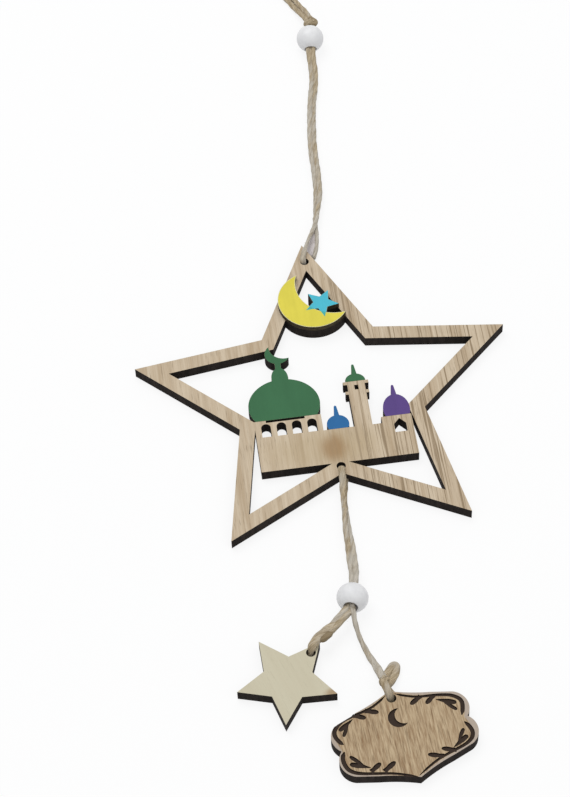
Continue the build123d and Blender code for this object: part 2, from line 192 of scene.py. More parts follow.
# Turn of the two strands about each other: distance along the pair, angle in degrees
HANGER_TURN = [(0.0, 95), (0.01, 30), (0.03, 0), (0.045, -30), (0.058, 0), (0.0775, 0)]
DROP_TURN = [(0.0, 90), (0.012, 30), (0.022, -25), (0.036, -35)]
STAR_STRAND_TURN = [(0.0, 20), (0.004, 5), (0.012, -30)]

# Middles of the knots in metres
HANGER_KNOT_MIDDLE = (0.014, 0.16895, 0.0049)
PLAQUE_KNOT_MIDDLE = (0.0012, -0.0562, 0.0018)

# Beads in metres: middle, the way the bore points, length before the bore is cut, bore
UPPER_BEAD = ((0.0134, 0.1633, 0.004), (0.0853, 0.9445, 0.3173), 0.008, 0.0035)
LOWER_BEAD = ((-0.0031, -0.0328, 0.004), (-0.285, -0.948, 0.139), 0.0073, 0.0036)

# Joint points in metres, between two lengths of cord
HANGER_PIVOT = (0.005, 0.0918, 0.0015)
DROP_PIVOT = (-0.0001, -0.0017, 0.0017)
STAR_STRAND_PIVOT = (-0.00526, -0.03775, 0.004)
SMALL_STAR_PIVOT = (-0.0106, -0.0415, 0.0032)
PLAQUE_STRAND_PIVOT = (-0.00258, -0.03797, 0.004)

# Domes, star-centred millimetres: middle, base, half width, belly, crown
MAIN_DOME = (-12.0, -6.17, 9.5, 4.4, 8.6)
BULB = (-12.0, 6.33, 2.25, 0.9, 3.5)
SIDE_DOME = (1.15, -11.55, 2.95, 1.5, 2.9)
GATE_DOME = (17.06, -9.55, 3.55, 2.1, 4.8)
CAP_DOME = (7.7, 3.25, 2.7, 0.1, 2.4)
NECK_HALF_WIDTH = 0.8
NECK_TOP = 12.63
# Spires: half width at the foot and at the tip, height, depth in the dome
SPIRE_FOOT, SPIRE_TIP, SPIRE_HEIGHT, SPIRE_SINK = 0.75, 0.36, 3.6, 0.5
# Crescents: middle, radius, hollow radius, shift of the hollow, turn in degrees
FINIAL = ((-11.7, 15.48), 3.35, 4.0, 3.0, 48.0)
MOON = ((0.46, 31.6), 9.74, 10.6, 8.06, 38.5)
# The crescent's star: middle, tips, radius at the notches
MOON_STAR = (
    (2.41, 30.1),
    ((4.8, 34.15), (-0.75, 33.65), (-2.2, 28.0), (2.7, 24.95), (7.05, 29.07)),
    2.15,
)

# Plaque: middle in millimetres, turn in degrees, radius that holds it, the engraving tool's height
# over the face in metres, and then its ornament in plaque-centred millimetres
PLAQUE_MIDDLE = np.array((3.65, -71.86))
PLAQUE_TURN = 9.4
PLAQUE_REACH = 20.0
ENGRAVING_HEADROOM = 0.0003
BORDER_LINES = [
    [(1.1, 11.05), (3.0, 9.9), (6.0, 8.6), (10.0, 7.75), (12.2, 7.15), (14.0, 6.4), (15.4, 5.1),
     (15.75, 3.8), (15.3, 2.1), (14.55, 0.6)],
    [(-1.3, 11.15), (-3.2, 10.05), (-6.0, 8.95), (-10.0, 8.3), (-12.6, 7.8), (-14.5, 6.95),
     (-15.8, 5.6), (-16.05, 4.2), (-15.5, 2.6), (-14.8, 1.6)],
    [(-15.2, -0.3), (-16.0, -1.6), (-16.2, -3.2), (-15.75, -5.0), (-14.5, -6.3), (-12.45, -7.25),
     (-10.0, -8.0), (-6.0, -9.25), (-3.0, -10.6), (-0.7, -11.8)],
    [(14.55, -1.25), (15.25, -2.75), (15.5, -4.3), (14.95, -5.75), (13.65, -6.7), (12.0, -7.3),
     (9.9, -7.8), (6.0, -8.75), (3.0, -9.95), (-0.3, -11.6)],
]
# Leaves: stalk end, tip, width
TWIG_LEAVES = [
    ((6.8, 8.5), (3.8, 7.05), 1.3), ((9.9, 7.7), (7.4, 6.1), 1.25),
    ((-7.2, 8.75), (-4.1, 7.35), 1.35), ((-10.1, 8.35), (-7.5, 6.8), 1.3),
    ((-10.8, -7.2), (-7.9, -5.7), 1.3), ((-7.8, -8.1), (-4.5, -6.4), 1.35),
    ((6.9, -8.5), (3.4, -6.95), 1.25), ((10.3, -7.95), (7.0, -6.4), 1.25),
]
LOBE_LEAVES = [
    ((10.0, 6.55), (14.5, 4.2), 1.6), ((11.2, 5.9), (14.0, 2.3), 1.15),
    ((-10.6, 7.5), (-14.7, 5.4), 1.4), ((-11.8, 6.9), (-14.2, 3.6), 1.1),
    ((-10.5, -6.2), (-15.0, -3.8), 1.6), ((-11.6, -5.5), (-14.4, -1.8), 1.2),
    ((9.8, -7.1), (14.1, -4.95), 1.55), ((11.3, -6.0), (13.8, -2.9), 1.15),
]
PLAQUE_MOON = ((-0.1, 4.5), 2.6, 2.28, 1.66, 12.0)

# Stains on the wood: middle and reach in metres, colour, strength
SHEET_MARKS = (
    ((-0.003, 0.014), (0.021, 0.008), from_srgb(176, 157, 123), 0.45),
    ((-0.001, 0.0138), (0.0042, 0.0057), from_srgb(156, 128, 94), 0.9),
)
SMALL_STAR_MARKS = (((-0.0112, -0.0584), (0.0032, 0.0018), from_srgb(150, 118, 80), 0.7),)
# The crescent's layer: its pale top rim, a painted highlight along its edge, its charred edge, and
# where the star's paint covers it
APPLIQUE_HIGHLIGHT_RIM = from_srgb(226, 222, 178)
APPLIQUE_BURNT = from_srgb(58, 50, 34)
CYAN_OVER_YELLOW = from_srgb(72, 172, 165)


# Settings a user would change

def length_setting(name, description, default, low, high, precision=5):
    """A length setting with its default and limits in metres."""
    return bpy.props.FloatProperty(
        name=name, description=description, default=default, min=low, max=high, unit="LENGTH",
        precision=precision)


def colour_setting(name, description, colour):
    """A colour setting with its default."""
    return bpy.props.FloatVectorProperty(
        name=name, description=description, default=colour, size=3, min=0.0, max=1.0,
        subtype="COLOR")


class OrnamentSizes(bpy.types.PropertyGroup):
    """Sizes of what is laid over the cut sheets."""

    twine_diameter: length_setting(
        "Twine diameter", "Thickness of one strand of jute", 0.0014, 0.0004, 0.004)
    ply_turn: length_setting(
        "Ply turn", "Length in which the plies of a strand go round once", 0.0150, 0.002, 0.05)
    ply_depth: bpy.props.FloatProperty(
        name="Ply groove", description="Depth of the groove between plies, as a share of the radius",
        default=0.08, min=0.0, max=0.4, subtype="FACTOR")
    fuzz_per_metre: bpy.props.IntProperty(
        name="Loose fibres", description="Loose fibres on a metre of strand",
        default=900, min=0, max=4000)
    paint_film: length_setting(
        "Paint film", "Thickness of the dried paint", 0.00005, 0.00001, 0.0005, 6)
    engraving_depth: length_setting(
        "Engraving depth", "Depth of the laser engraving in the plaque", 0.0004, 0.0001, 0.0015)
    border_width: length_setting(
        "Border width", "Width of the engraved border line", 0.00105, 0.0002, 0.002)
    bead_diameter: length_setting(
        "Bead diameter", "Width of a bead across its bore", 0.008, 0.004, 0.02, 4)


class OrnamentColours(bpy.types.PropertyGroup):
    """Colours of the wood, the paints, the beads and the twine."""

    sheet: colour_setting("Sheet", "Pale face of the star's plywood", from_srgb(207, 192, 169))
    sheet_grain: colour_setting("Sheet grain", "Grain of the star's plywood", from_srgb(168, 147, 119))
    pendant: colour_setting("Small star", "Face of the small star", from_srgb(199, 193, 170))
    pendant_grain: colour_setting(
        "Small star grain", "Grain of the small star", from_srgb(190, 182, 158))
    plaque: colour_setting("Plaque", "Face of the plaque", from_srgb(197, 177, 145))
    plaque_grain: colour_setting("Plaque grain", "Grain of the plaque", from_srgb(138, 111, 82))
    burnt: colour_setting("Burnt edge", "Wood charred by the laser", from_srgb(38, 32, 29))
    green: colour_setting("Green", "Paint of the main dome and the minaret cap", from_srgb(57, 104, 70))
    blue: colour_setting("Blue", "Paint of the side dome", from_srgb(42, 101, 154))
    purple: colour_setting("Purple", "Paint of the gate dome", from_srgb(89, 68, 128))
    yellow: colour_setting("Yellow", "Paint of the crescent", from_srgb(218, 205, 78))
    cyan: colour_setting("Cyan", "Paint of the crescent's star", from_srgb(77, 184, 204))
    bead: colour_setting("Bead", "Paint of the beads", from_srgb(224, 224, 224))
    twine: colour_setting("Twine", "Jute of the cords", from_srgb(194, 179, 152))
    twine_shade: colour_setting("Twine shade", "Dark fibres of the jute", from_srgb(130, 112, 84))
    twine_grey: colour_setting("Twine grey", "Greyer stretches of the jute", from_srgb(196, 189, 176))
    twine_pale: colour_setting("Twine pale", "Bleached strand of the jute", from_srgb(211, 204, 206))
    plaque_rim: colour_setting("Plaque rim", "Paler rim outside the border", from_srgb(174, 163, 153))
    engraving: colour_setting("Engraving", "Wood browned by the engraving", from_srgb(54, 43, 36))


class StageSettings(bpy.types.PropertyGroup):
    """The floor and the light."""

    floor: colour_setting("Floor", "Colour of the table", from_srgb(238, 238, 238))
    key_power: bpy.props.FloatProperty(
        name="Key light", description="Power of the large lamp above the star",
        default=9.0, min=0.0, max=200.0, unit="POWER")
    sky: bpy.props.FloatProperty(
        name="Sky", description="Strength of the even light all round",
        default=0.6, min=0.0, max=2.0, subtype="FACTOR")


# Shader building

def shaded(colour, factor):
    """A colour made darker or lighter."""
    return tuple(factor * value for value in colour)


def operators(operation):
    """One of Python's operators and its reflected form, each adding a Math node."""
    def plain(self, other):
        return self.nodes.maths(operation, self, other)

    def reflected(self, other):
        return self.nodes.maths(operation, other, self)

    return plain, reflected


class Value:
    """A shader value. Arithmetic on it adds Math nodes to its tree."""

    def __init__(self, nodes, socket):
        self.nodes = nodes
        self.socket = socket

    __add__, __radd__ = operators("ADD")
    __sub__, __rsub__ = operators("SUBTRACT")
    __mul__, __rmul__ = operators("MULTIPLY")
    __truediv__, __rtruediv__ = operators("DIVIDE")
    __lt__, __gt__ = operators("LESS_THAN")

    def __abs__(self):
        return self.nodes.maths("ABSOLUTE", self)


class Nodes:
    """A node tree, emptied, and the ways to add nodes to it."""

    def __init__(self, tree):
        self.tree = tree
        tree.nodes.clear()

    def find(self, sockets, key):
        """The socket with this name or number, or the first that is in use."""
        if isinstance(key, int):
            return sockets[key]
        for socket in sockets:
            if socket.enabled and key in (None, socket.name):
                return socket
        raise KeyError(f"no socket {key}")

    def node(self, kind, settings=None, sockets=None, output=None):
        """Any node: its settings first, then the values or links of its sockets."""
        made = self.tree.nodes.new(kind)
        for key, value in (settings or {}).items():
            if key == "stops":
                self.set_stops(made.color_ramp.elements, value)
            else:
                setattr(made, key, value)
        for key, value in (sockets or {}).items():
            socket = self.find(made.inputs, key)
            if isinstance(value, Value):
                self.tree.links.new(value.socket, socket)
            else:
                socket.default_value = value
        if not made.outputs:
            return None
        return Value(self, self.find(made.outputs, output))

    def set_stops(self, elements, stops):
        """A ramp's stops, each a place and a colour."""
        while len(elements) < len(stops):
            elements.new(1.0)
        for element, (place, colour) in zip(elements, stops):
            element.position = place
            element.color = (*colour, 1.0)

    def maths(self, operation, *values):
        """One Math node on one or more values."""
        return self.node("ShaderNodeMath", {"operation": operation}, dict(enumerate(values)))

    def between(self, value, low, high):
        """A smooth step from 0 at low to 1 at high."""
        settings = {"interpolation_type": "SMOOTHSTEP", "clamp": True}
        sockets = {"Value": value, "From Min": low, "From Max": high}
        return self.node("ShaderNodeMapRange", settings, sockets)

    def mix(self, amount, first, second, blend="MIX"):
        """Two colours mixed; a plain colour may stand in for either."""
        sockets = {"Factor": amount}
        for key, colour in (("A", first), ("B", second)):
            sockets[key] = colour if isinstance(colour, Value) else (*colour, 1.0)
        settings = {"data_type": "RGBA", "blend_type": blend, "clamp_factor": True}
        return self.node("ShaderNodeMix", settings, sockets)

    def part(self, vector, axis):
        """One coordinate of a vector."""
        return self.node("ShaderNodeSeparateXYZ", None, {"Vector": vector}, axis)

    def stretch(self, vector, factors):
        """A vector with each coordinate times its factor."""
        settings = {"operation": "MULTIPLY"}
        return self.node("ShaderNodeVectorMath", settings, {0: vector, 1: factors})

    def distance(self, vector, middle):
        """Distance of a vector from a point."""
        settings = {"operation": "DISTANCE"}
        return self.node("ShaderNodeVectorMath", settings, {0: vector, 1: middle}, "Value")

    def noise(self, vector, factors, detail=4.0, roughness=0.6, distortion=0.0):
        """Soft noise about one unit across, after the vector is stretched by the factors."""
        sockets = {"Vector": self.stretch(vector, factors), "Scale": 1.0, "Detail": detail,
                   "Roughness": roughness, "Distortion": distortion}
        return self.node("ShaderNodeTexNoise", {"noise_dimensions": "3D"}, sockets)

    def seen_directly(self):
        """1 for rays from the camera, also by way of gloss or glass, and 0 for light."""
        camera, gloss, glass = (
            self.node("ShaderNodeLightPath", None, None, f"Is {ray} Ray")
            for ray in ("Camera", "Glossy", "Transmission"))
        return self.maths("MAXIMUM", self.maths("MAXIMUM", camera, gloss), glass)


class Finish(Nodes):
    """One material and the nodes that make it."""

    def __init__(self, name):
        self.material = bpy.data.materials.new(name)
        self.material.use_nodes = True
        super().__init__(self.material.node_tree)

    def place(self):
        """Where a point is on the piece, in metres."""
        return self.node("ShaderNodeTexCoord", None, None, "Object")

    def facing(self):
        """How far the surface faces up, from -1 to 1."""
        return self.part(self.node("ShaderNodeTexCoord", None, None, "Normal"), "Z")

    def wall(self):
        """1 where the surface stands upright and 0 where it lies flat."""
        return 1.0 - self.between(abs(self.facing()), 0.35, 0.75)

    def attribute(self, name, output):
        """A value that the piece's mesh carries."""
        return self.node("ShaderNodeAttribute", {"attribute_name": name}, None, output)

    def surface(self, colour, rough, relief, strength, depth, specular=0.5):
        """A Principled surface with a bump, as the finish's output."""
        bump = self.node("ShaderNodeBump", None,
                         {"Height": relief, "Strength": strength, "Distance": depth})
        shader = self.node("ShaderNodeBsdfPrincipled", None,
                           {"Base Color": colour, "Roughness": rough, "Normal": bump,
                            "Specular IOR Level": specular})
        self.node("ShaderNodeOutputMaterial", None, {"Surface": shader})
        return self.material


def wood_finish(name, face, grain, burnt, turn=0.0, contrast=1.0, pores=0.5,
                weights=(0.34, 0.4, 0.26, 0.0), pore_level=0.60, lines=0.0, marks=(), engraved=None,
                rim=None):
    """Laser-cut plywood: a raw face with grain along one way, and charred walls.

    The face mixes two wood colours by four noises drawn out along the grain, a broad, a middle
    and a fine one and short flecks, and darkens in short pores. Lines are darker threads of grain
    towards the right. Where the surface stands upright it is charred, with faint lines between
    the plies. Marks are soft stains: middle, reach, colour and strength. Engraved is a height and
    a colour: what faces up below that height is browned. Rim is a paler colour outside the
    plaque's border.
    """
    finish = Finish(name)
    place = finish.place()
    turned = finish.node("ShaderNodeMapping", {"vector_type": "POINT"},
                         {"Vector": place, "Rotation": (0.0, 0.0, -np.radians(turn))})
    broad = finish.noise(turned, (160, 14, 14), 2.0, 0.5)
    middle_grain = finish.noise(turned, (720, 26, 26), 4.0, 0.6, 0.4)
    fine = finish.noise(turned, (2600, 95, 95), 5.0, 0.65, 0.2)
    pore = finish.noise(turned, (3400, 210, 210), 2.0, 0.5)
    flecks = finish.noise(turned, (2300, 270, 270), 3.0, 0.6, 0.2)
    tone = broad * weights[0] + middle_grain * weights[1] + fine * weights[2] + flecks * weights[3]
    tone = finish.between(tone, 0.5 - 0.2 / contrast, 0.5 + 0.2 / contrast)
    wood = finish.mix(tone, grain, face)
    dashes = finish.between(pore, pore_level, pore_level + 0.12) * pores
    wood = finish.mix(dashes, wood, shaded(grain, 0.55))
    for spot, reach, colour, strength in marks:
        away = finish.distance(finish.stretch(place, (1.0 / reach[0], 1.0 / reach[1], 0.0)),
                               (spot[0] / reach[0], spot[1] / reach[1], 0.0))
        cloud = finish.noise(turned, (600, 160, 160), 3.0)
        stain = (1.0 - finish.between(away + cloud * 0.5, 0.55, 1.35)) * strength
        wood = finish.mix(stain, wood, colour)
    if lines:
        thread = finish.noise(turned, (1500, 20, 20), 3.0, 0.6, 0.3)
        right_side = finish.between(finish.part(place, "X"), -0.002, 0.012) * 0.85 + 0.15
        dark = finish.between(thread, 0.525, 0.595) * right_side * lines
        wood = finish.mix(dark, wood, shaded(grain, 0.72))
    if rim is not None:
        wood = finish.mix(outside_border(finish, place) * 0.75, wood, rim)
    wall = finish.wall()
    height = finish.part(place, "Z")
    plies = finish.between(abs(finish.maths("SINE", height * (np.pi / PLY))), 0.0, 0.22)
    soot = finish.noise(place, (900, 900, 180))
    char = finish.mix(finish.between(soot, 0.35, 0.75) * plies, shaded(burnt, 0.6),
                      shaded(burnt, 1.5))
    if engraved is not None:
        level, brown = engraved
        cut = (height < level) * (level * 0.5 < height) * (0.3 < finish.facing())
        browned = finish.mix(soot, shaded(brown, 0.7), shaded(brown, 1.4))
        wood = finish.mix(cut, wood, browned)
    rough = 0.62 + fine * 0.2 + wall * 0.1
    relief = (fine * 0.7 + middle_grain * 0.3 - dashes * 0.6) * (1.0 - wall) + soot * wall
    return finish.surface(finish.mix(wall, wood, char), rough, relief, 0.35, 0.00012, 0.12)


def outside_border(finish, place):
    """1 outside the plaque's border and 0 inside it. The border's distance from the plaque's
    middle is a ramp over the angle round it, and a point is outside where it is further away."""
    line = np.concatenate([smooth_line(points) for points in BORDER_LINES])
    angle = np.arctan2(line[:, 1], line[:, 0]) / FULL_TURN + 0.5
    order = np.argsort(angle)
    places = np.linspace(0.0, 1.0, 31)
    reach = np.interp(places, angle[order], np.hypot(line[:, 0], line[:, 1])[order], period=1.0)
    stops = [(float(at), (float(far) / PLAQUE_REACH,) * 3) for at, far in zip(places, reach)]
    own = finish.node("ShaderNodeMapping", {"vector_type": "TEXTURE"},
                      {"Vector": place, "Location": (*(PLAQUE_MIDDLE * MM), 0.0),
                       "Rotation": (0.0, 0.0, np.radians(PLAQUE_TURN)),
                       "Scale": (PLAQUE_REACH * MM, PLAQUE_REACH * MM, 1.0)})
    flat = finish.stretch(own, (1.0, 1.0, 0.0))
    turn = finish.maths("ARCTAN2", finish.part(own, "Y"), finish.part(own, "X"))
    border = finish.node("ShaderNodeValToRGB", {"stops": stops}, {"Fac": turn / FULL_TURN + 0.5},
                         "Color")
    return finish.between(finish.distance(flat, (0.0, 0.0, 0.0)) - border, 0.012, 0.03)


def paint_finish(name, colour, second=None, inside=None):
    """Satin paint rolled on wood: fine stipple, a little of the grain, and uneven cover.

    A second colour takes over inside a crescent, where two paints lie over each other.
    """
    finish = Finish(name)
    place = finish.place()
    base = colour
    if second is not None:
        middle, radius, hollow, shift, turn = inside
        middle = np.array(middle) + STAR_MIDDLE
        way = np.radians(turn)
        hollow_middle = middle + shift * np.array((np.cos(way), np.sin(way)))
        flat = finish.stretch(place, (1 / MM, 1 / MM, 0.0))
        from_disc = finish.distance(flat, (*middle, 0.0))
        from_hollow = finish.distance(flat, (*hollow_middle, 0.0))
        disc = 1.0 - finish.between(from_disc, radius - 0.3, radius)
        gap = finish.between(from_hollow, hollow - 0.1, hollow + 0.2)
        base = finish.mix(disc * gap, colour, second)
    cover = finish.noise(place, (170, 60, 60))
    grain = finish.noise(place, (1500, 70, 70))
    stipple = finish.noise(place, (4200, 4200, 4200), 2.0, 0.5)
    shade = finish.between(cover * 0.8 + grain * 0.2, 0.3, 0.7)
    darker = finish.mix(1.0, base, (0.87, 0.88, 0.88), "MULTIPLY")
    tinted = finish.mix(shade, darker, base)
    relief = stipple * 0.6 + grain * 0.4
    return finish.surface(tinted, 0.5 + stipple * 0.2, relief, 0.25, 0.00006, 0.14)


def applique_finish(name, rim, burnt):
    """The thin glued layer: a pale rim on top, a painted highlight along the edge, and charred
    olive-brown walls.
    """
    finish = Finish(name)
    place = finish.place()
    grain = finish.noise(place, (1500, 70, 70))
    soot = finish.noise(place, (800, 800, 2200), 3.0)
    # The pale top is a painted highlight along the layer's edge, where the paint film leaves it bare
    top = finish.mix(finish.between(grain, 0.3, 0.7), shaded(rim, 0.8), rim)
    char = finish.mix(finish.between(soot, 0.35, 0.7), shaded(burnt, 0.7), shaded(burnt, 1.6))
    colour = finish.mix(finish.wall(), top, char)
    return finish.surface(colour, 0.55 + grain * 0.2, grain, 0.3, 0.00008, 0.12)


def bead_finish(name, colour):
    """White satin paint on a turned wooden bead: faint turning rings and cloudy cover."""
    finish = Finish(name)
    place = finish.place()
    cloud = finish.noise(place, (420, 420, 420))
    grain = finish.noise(place, (1600, 260, 1600))
    shade = finish.between(cloud * 0.7 + grain * 0.3, 0.3, 0.7)
    thin = tuple(value * cover for value, cover in zip(colour, (0.9, 0.9, 0.91)))
    painted = finish.mix(shade, thin, colour)
    return finish.surface(painted, 0.34 + grain * 0.14, grain, 0.2, 0.00006)


def twine_finish(name, colour, shade, grey, pale):
    """Jute: pale and dark fibres along each ply, painted shade in the grooves between plies, greyer
    stretches.

    The lay attribute is the point on the strand when it is pulled straight and untwisted, so
    the fibres follow the plies round every bend. The grey attribute makes a strand greyer, past
    1 it bleaches it, and below 0 it darkens it, which is painted shade on the knots' collars and
    where the cord goes into the knot.
    """
    finish = Finish(name)
    lay = finish.attribute("lay", "Vector")
    groove = finish.attribute("groove", "Fac")
    tint = finish.attribute("grey", "Fac")
    fibres = finish.noise(lay, (4.0, 4.0, 0.4), 5.0, 0.65)
    hairs = finish.noise(lay, (13.0, 13.0, 0.9), 3.0)
    slow = finish.noise(lay, (0.6, 0.6, 0.16), 2.0, 0.5)
    patch = finish.noise(lay, (1.1, 1.1, 0.45), 2.0, 0.5)
    tone = finish.between(fibres * 0.6 + hairs * 0.4, 0.34, 0.64)
    warm = finish.mix(tone, shade, colour)
    cool = finish.mix(tone, shaded(grey, 0.72), grey)
    jute = finish.mix(finish.between(slow + tint * 0.3, 0.42, 0.86), warm, cool)
    # Grey below 0 is painted shade: it darkens the knot collars and the pair's end at the knot
    painted_shade = 1.0 - finish.between(tint, -1.0, 0.0)
    # The groove mix below is painted shade in the grooves between the plies
    for amount, over in ((finish.between(patch, 0.52, 0.72) * 0.4, shade),
                         (finish.between(tint, 1.2, 1.8) * 0.75, pale),
                         (painted_shade * 0.65, shaded(shade, 0.75)),
                         (groove * 0.3, shaded(shade, 0.6))):
        jute = finish.mix(amount, jute, over)
    relief = fibres * 0.5 + hairs * 0.5
    return finish.surface(jute, 0.86 + hairs * 0.1, relief, 0.5, 0.00012, 0.1)


# Mesh building

def unit(vectors):
    """Vectors made one long."""
    return vectors / np.linalg.norm(vectors, axis=-1, keepdims=True)


def signed_volume(points, around, ends):
    """Six times the volume inside a shell, negative where its faces point inwards: each face is
    fanned into triangles, and each triangle makes a tetrahedron with the origin."""
    first, second, third, fourth = (points[around[:, corner]] for corner in range(4))
    volume = np.einsum("ij,ij->", first, np.cross(second, third) + np.cross(third, fourth))
    middle = points[ends].mean(axis=1)
    fan = np.cross(points[ends] - middle[:, None],
                   np.roll(points[ends], -1, axis=1) - middle[:, None]).sum(axis=1)
    return volume + np.einsum("ij,ij->", middle, fan)


def add_attribute(mesh, key, blocks, count):
    """One attribute of the mesh's points from blocks, each a first point and its values."""
    width = blocks[0][1].shape[1]
    whole = np.zeros((count, width))
    for first, values in blocks:
        whole[first:first + len(values)] = values
    kind, field = ("FLOAT_VECTOR", "vector") if width == 3 else ("FLOAT", "value")
    layer = mesh.attributes.new(key, kind, "POINT")
    layer.data.foreach_set(field, whole.ravel().astype(np.float32))


def add_object(name, mesh):
    """An object for a mesh, in the scene."""
    piece = bpy.data.objects.new(name, mesh)
    bpy.context.scene.collection.objects.link(piece)
    return piece


def make_piece(name, shells, finish, smooth=True):
    """One object from closed grids.

    Each shell is points of shape (copies, rows, columns, 3) and a dictionary of attributes. The
    columns go round, so the last joins the first. The first and last row are closed by a face,
    or joined where they are the same points. A shell whose signed volume is negative has its
    faces turned round.
    """
    vertices, quads, caps = [], [], []
    attributes = {}
    start = 0
    for points, extra in shells:
        ring = np.allclose(points[:, 0], points[:, -1], rtol=0.0, atol=1e-9)
        if ring:
            points = points[:, :-1]
            extra = {key: values[:, :-1] for key, values in extra.items()}
        copies, rows, columns = points.shape[:3]
        count = copies * rows * columns
        index = np.arange(count).reshape(copies, rows, columns)
        closing = index[:, :1] if ring else index[:, :0]
        index = np.concatenate([index, closing], axis=1)
        beside = np.roll(index, -1, axis=2)
        around = np.stack(
            [index[:, :-1], beside[:, :-1], beside[:, 1:], index[:, 1:]], axis=-1).reshape(-1, 4)
        ends = np.concatenate([index[:, 0, ::-1], index[:, -1]])[:0 if ring else None]
        flat = points.reshape(-1, 3)
        if signed_volume(flat, around, ends) < 0:
            around = around[:, ::-1]
            ends = ends[:, ::-1]
        vertices.append(flat)
        quads += (around + start).tolist()
        caps += (ends + start).tolist()
        for key, values in extra.items():
            attributes.setdefault(key, []).append((start, values.reshape(count, -1)))
        start += count
    mesh = bpy.data.meshes.new(name)
    mesh.from_pydata(np.concatenate(vertices).tolist(), [], quads + caps)
    mesh.polygons.foreach_set("use_smooth", np.full(len(mesh.polygons), smooth))
    for key, blocks in attributes.items():
        add_attribute(mesh, key, blocks, start)
    mesh.update()
    if finish is not None:
        mesh.materials.append(finish)
    return add_object(name, mesh)


def read_route(route, step=0.00018):
    """Evenly spaced points along the NURBS spline that has the route as its control points."""
    curve = bpy.data.curves.new("route", "CURVE")
    curve.dimensions = "3D"
    curve.resolution_u = 32
    spline = curve.splines.new("NURBS")
    spline.points.add(len(route) - 1)
    control = np.column_stack([np.array(route), np.ones(len(route))])
    spline.points.foreach_set("co", control.ravel())
    spline.order_u = 3
    spline.use_endpoint_u = True
    holder = bpy.data.objects.new("route", curve)
    mesh = bpy.data.meshes.new_from_object(holder)
    points = np.empty(len(mesh.vertices) * 3)
    mesh.vertices.foreach_get("co", points)
    points = points.reshape(-1, 3)
    bpy.data.objects.remove(holder)
    bpy.data.curves.remove(curve)
    bpy.data.meshes.remove(mesh)
    return even_points(points, step)


def run_along(points):
    """Distance along a line of points."""
    steps = np.linalg.norm(np.diff(points, axis=0), axis=1)
    return np.concatenate([[0.0], np.cumsum(steps)])


def even_points(points, step):
    """The same line at even steps."""
    along = run_along(points)
    places = np.linspace(0.0, along[-1], max(int(along[-1] / step), 8) + 1)
    return np.column_stack([np.interp(places, along, points[:, axis]) for axis in range(3)])


def varied(line, places, values):
    """A value along a line, given at some distances from its start."""
    return np.interp(run_along(line), places, values)


def lay_frames(points, reference):
    """Tangent, across and over at each point: across is the reference less its part along the
    tangent, over is square to both."""
    tangent = unit(np.gradient(points, axis=0))
    across = unit(reference - (tangent @ reference)[:, None] * tangent)
    return tangent, across, np.cross(tangent, across)


def twist_pair(points, turns, spread):
    """The two strands of a pair: the middle line plus and minus an offset that turns about it.

    The angle is counted from the horizontal and follows the table of turns.
    """
    angle = np.radians(varied(points, *np.transpose(turns)))[:, None]
    _, upward, sideways = lay_frames(points, UP)
    offset = spread * (np.cos(angle) * sideways + np.sin(angle) * upward)
    return points + offset, points - offset


def trimmed_pair(route, turns, size):
    """A pair's middle line, cut off where its eye begins, and its two strands."""
    line = read_route(route)
    middle = line[run_along(line) >= PAIR_TRIM]
    turns = [(place - PAIR_TRIM, angle) for place, angle in turns]
    return middle, *twist_pair(middle, turns, PAIR_OFFSET * size)


def above_table(points):
    """The same points, with none of them under the table's top."""
    points[..., 2] = np.maximum(points[..., 2], TWINE_FLOOR)
    return points


def strand_shell(points, across, over, girth, ply_turn, seed, grey=0.0):
    """The surface of one strand.

    Round the path it lies at girth times (1 - depth (1 - |cos 1.5 (a - t)|)), three plies with a
    sharp groove between them, where a is the angle round the path and t grows by a full turn in
    each ply turn. Its attributes are the point on the untwisted strand, the groove, which the
    finish darkens as painted shade, and the grey.
    """
    depth = bpy.context.scene.ornament_sizes.ply_depth
    along = run_along(points)[:, None]
    angle = np.linspace(0.0, FULL_TURN, STRAND_SIDES, endpoint=False)[None]
    turn = FULL_TURN * along / ply_turn + seed
    crest = np.abs(np.cos(1.5 * (angle - turn)))
    reach = np.reshape(girth, (-1, 1)) * (1 - depth * (1 - crest))
    outward = (np.cos(angle)[..., None] * across[:, None]
               + np.sin(angle)[..., None] * over[:, None])
    surface = above_table(points[:, None] + reach[..., None] * outward)
    lay = np.stack(np.broadcast_arrays(np.cos(angle - turn), np.sin(angle - turn),
                                       along / MM + 17.0 * seed), axis=-1)
    tint = np.broadcast_to(np.reshape(grey, (-1, 1)), surface.shape[:2])
    extra = {"lay": lay[None], "groove": ((1 - crest) ** 2)[None], "grey": tint[None]}
    return surface[None], extra


def twine_shells(points, reference, seed, wide=1.0, tall=1.0, grey=0.0, taper=(1.0, 1.0)):
    """One strand of jute with its loose fibres.

    Two slow sine waves make it thick and thin, and both ends are rounded over the taper, a number
    of strand widths. Wide and tall stretch the section sideways and upwards, where the twine lies
    flat. Grey tells the finish how grey the strand is, all along or at each point.
    """
    sizes = bpy.context.scene.ornament_sizes
    radius = 0.5 * sizes.twine_diameter
    along = run_along(points)
    wide, tall = (np.broadcast_to(factor, along.shape) for factor in (wide, tall))
    tangent, across, over = lay_frames(points, reference)
    wave = 1 + 0.05 * np.sin(along / 0.00049 + seed) + 0.04 * np.sin(along / 0.0013 + 2 * seed)
    ends = np.minimum(along / taper[0], (along[-1] - along) / taper[1])
    ends = np.clip(ends / (0.4 * sizes.twine_diameter), 0.02, 1)
    girth = radius * wave * np.sqrt(1 - (1 - ends) ** 2)
    stretch = (tall, wide) if abs(reference[2]) > 0.5 else (wide, tall)
    strand = strand_shell(points, across * stretch[0][:, None], over * stretch[1][:, None], girth,
                          sizes.ply_turn, seed, grey)
    return [strand, fuzz_shell(points, tangent, across, over, radius * np.minimum(wide, tall), seed)]


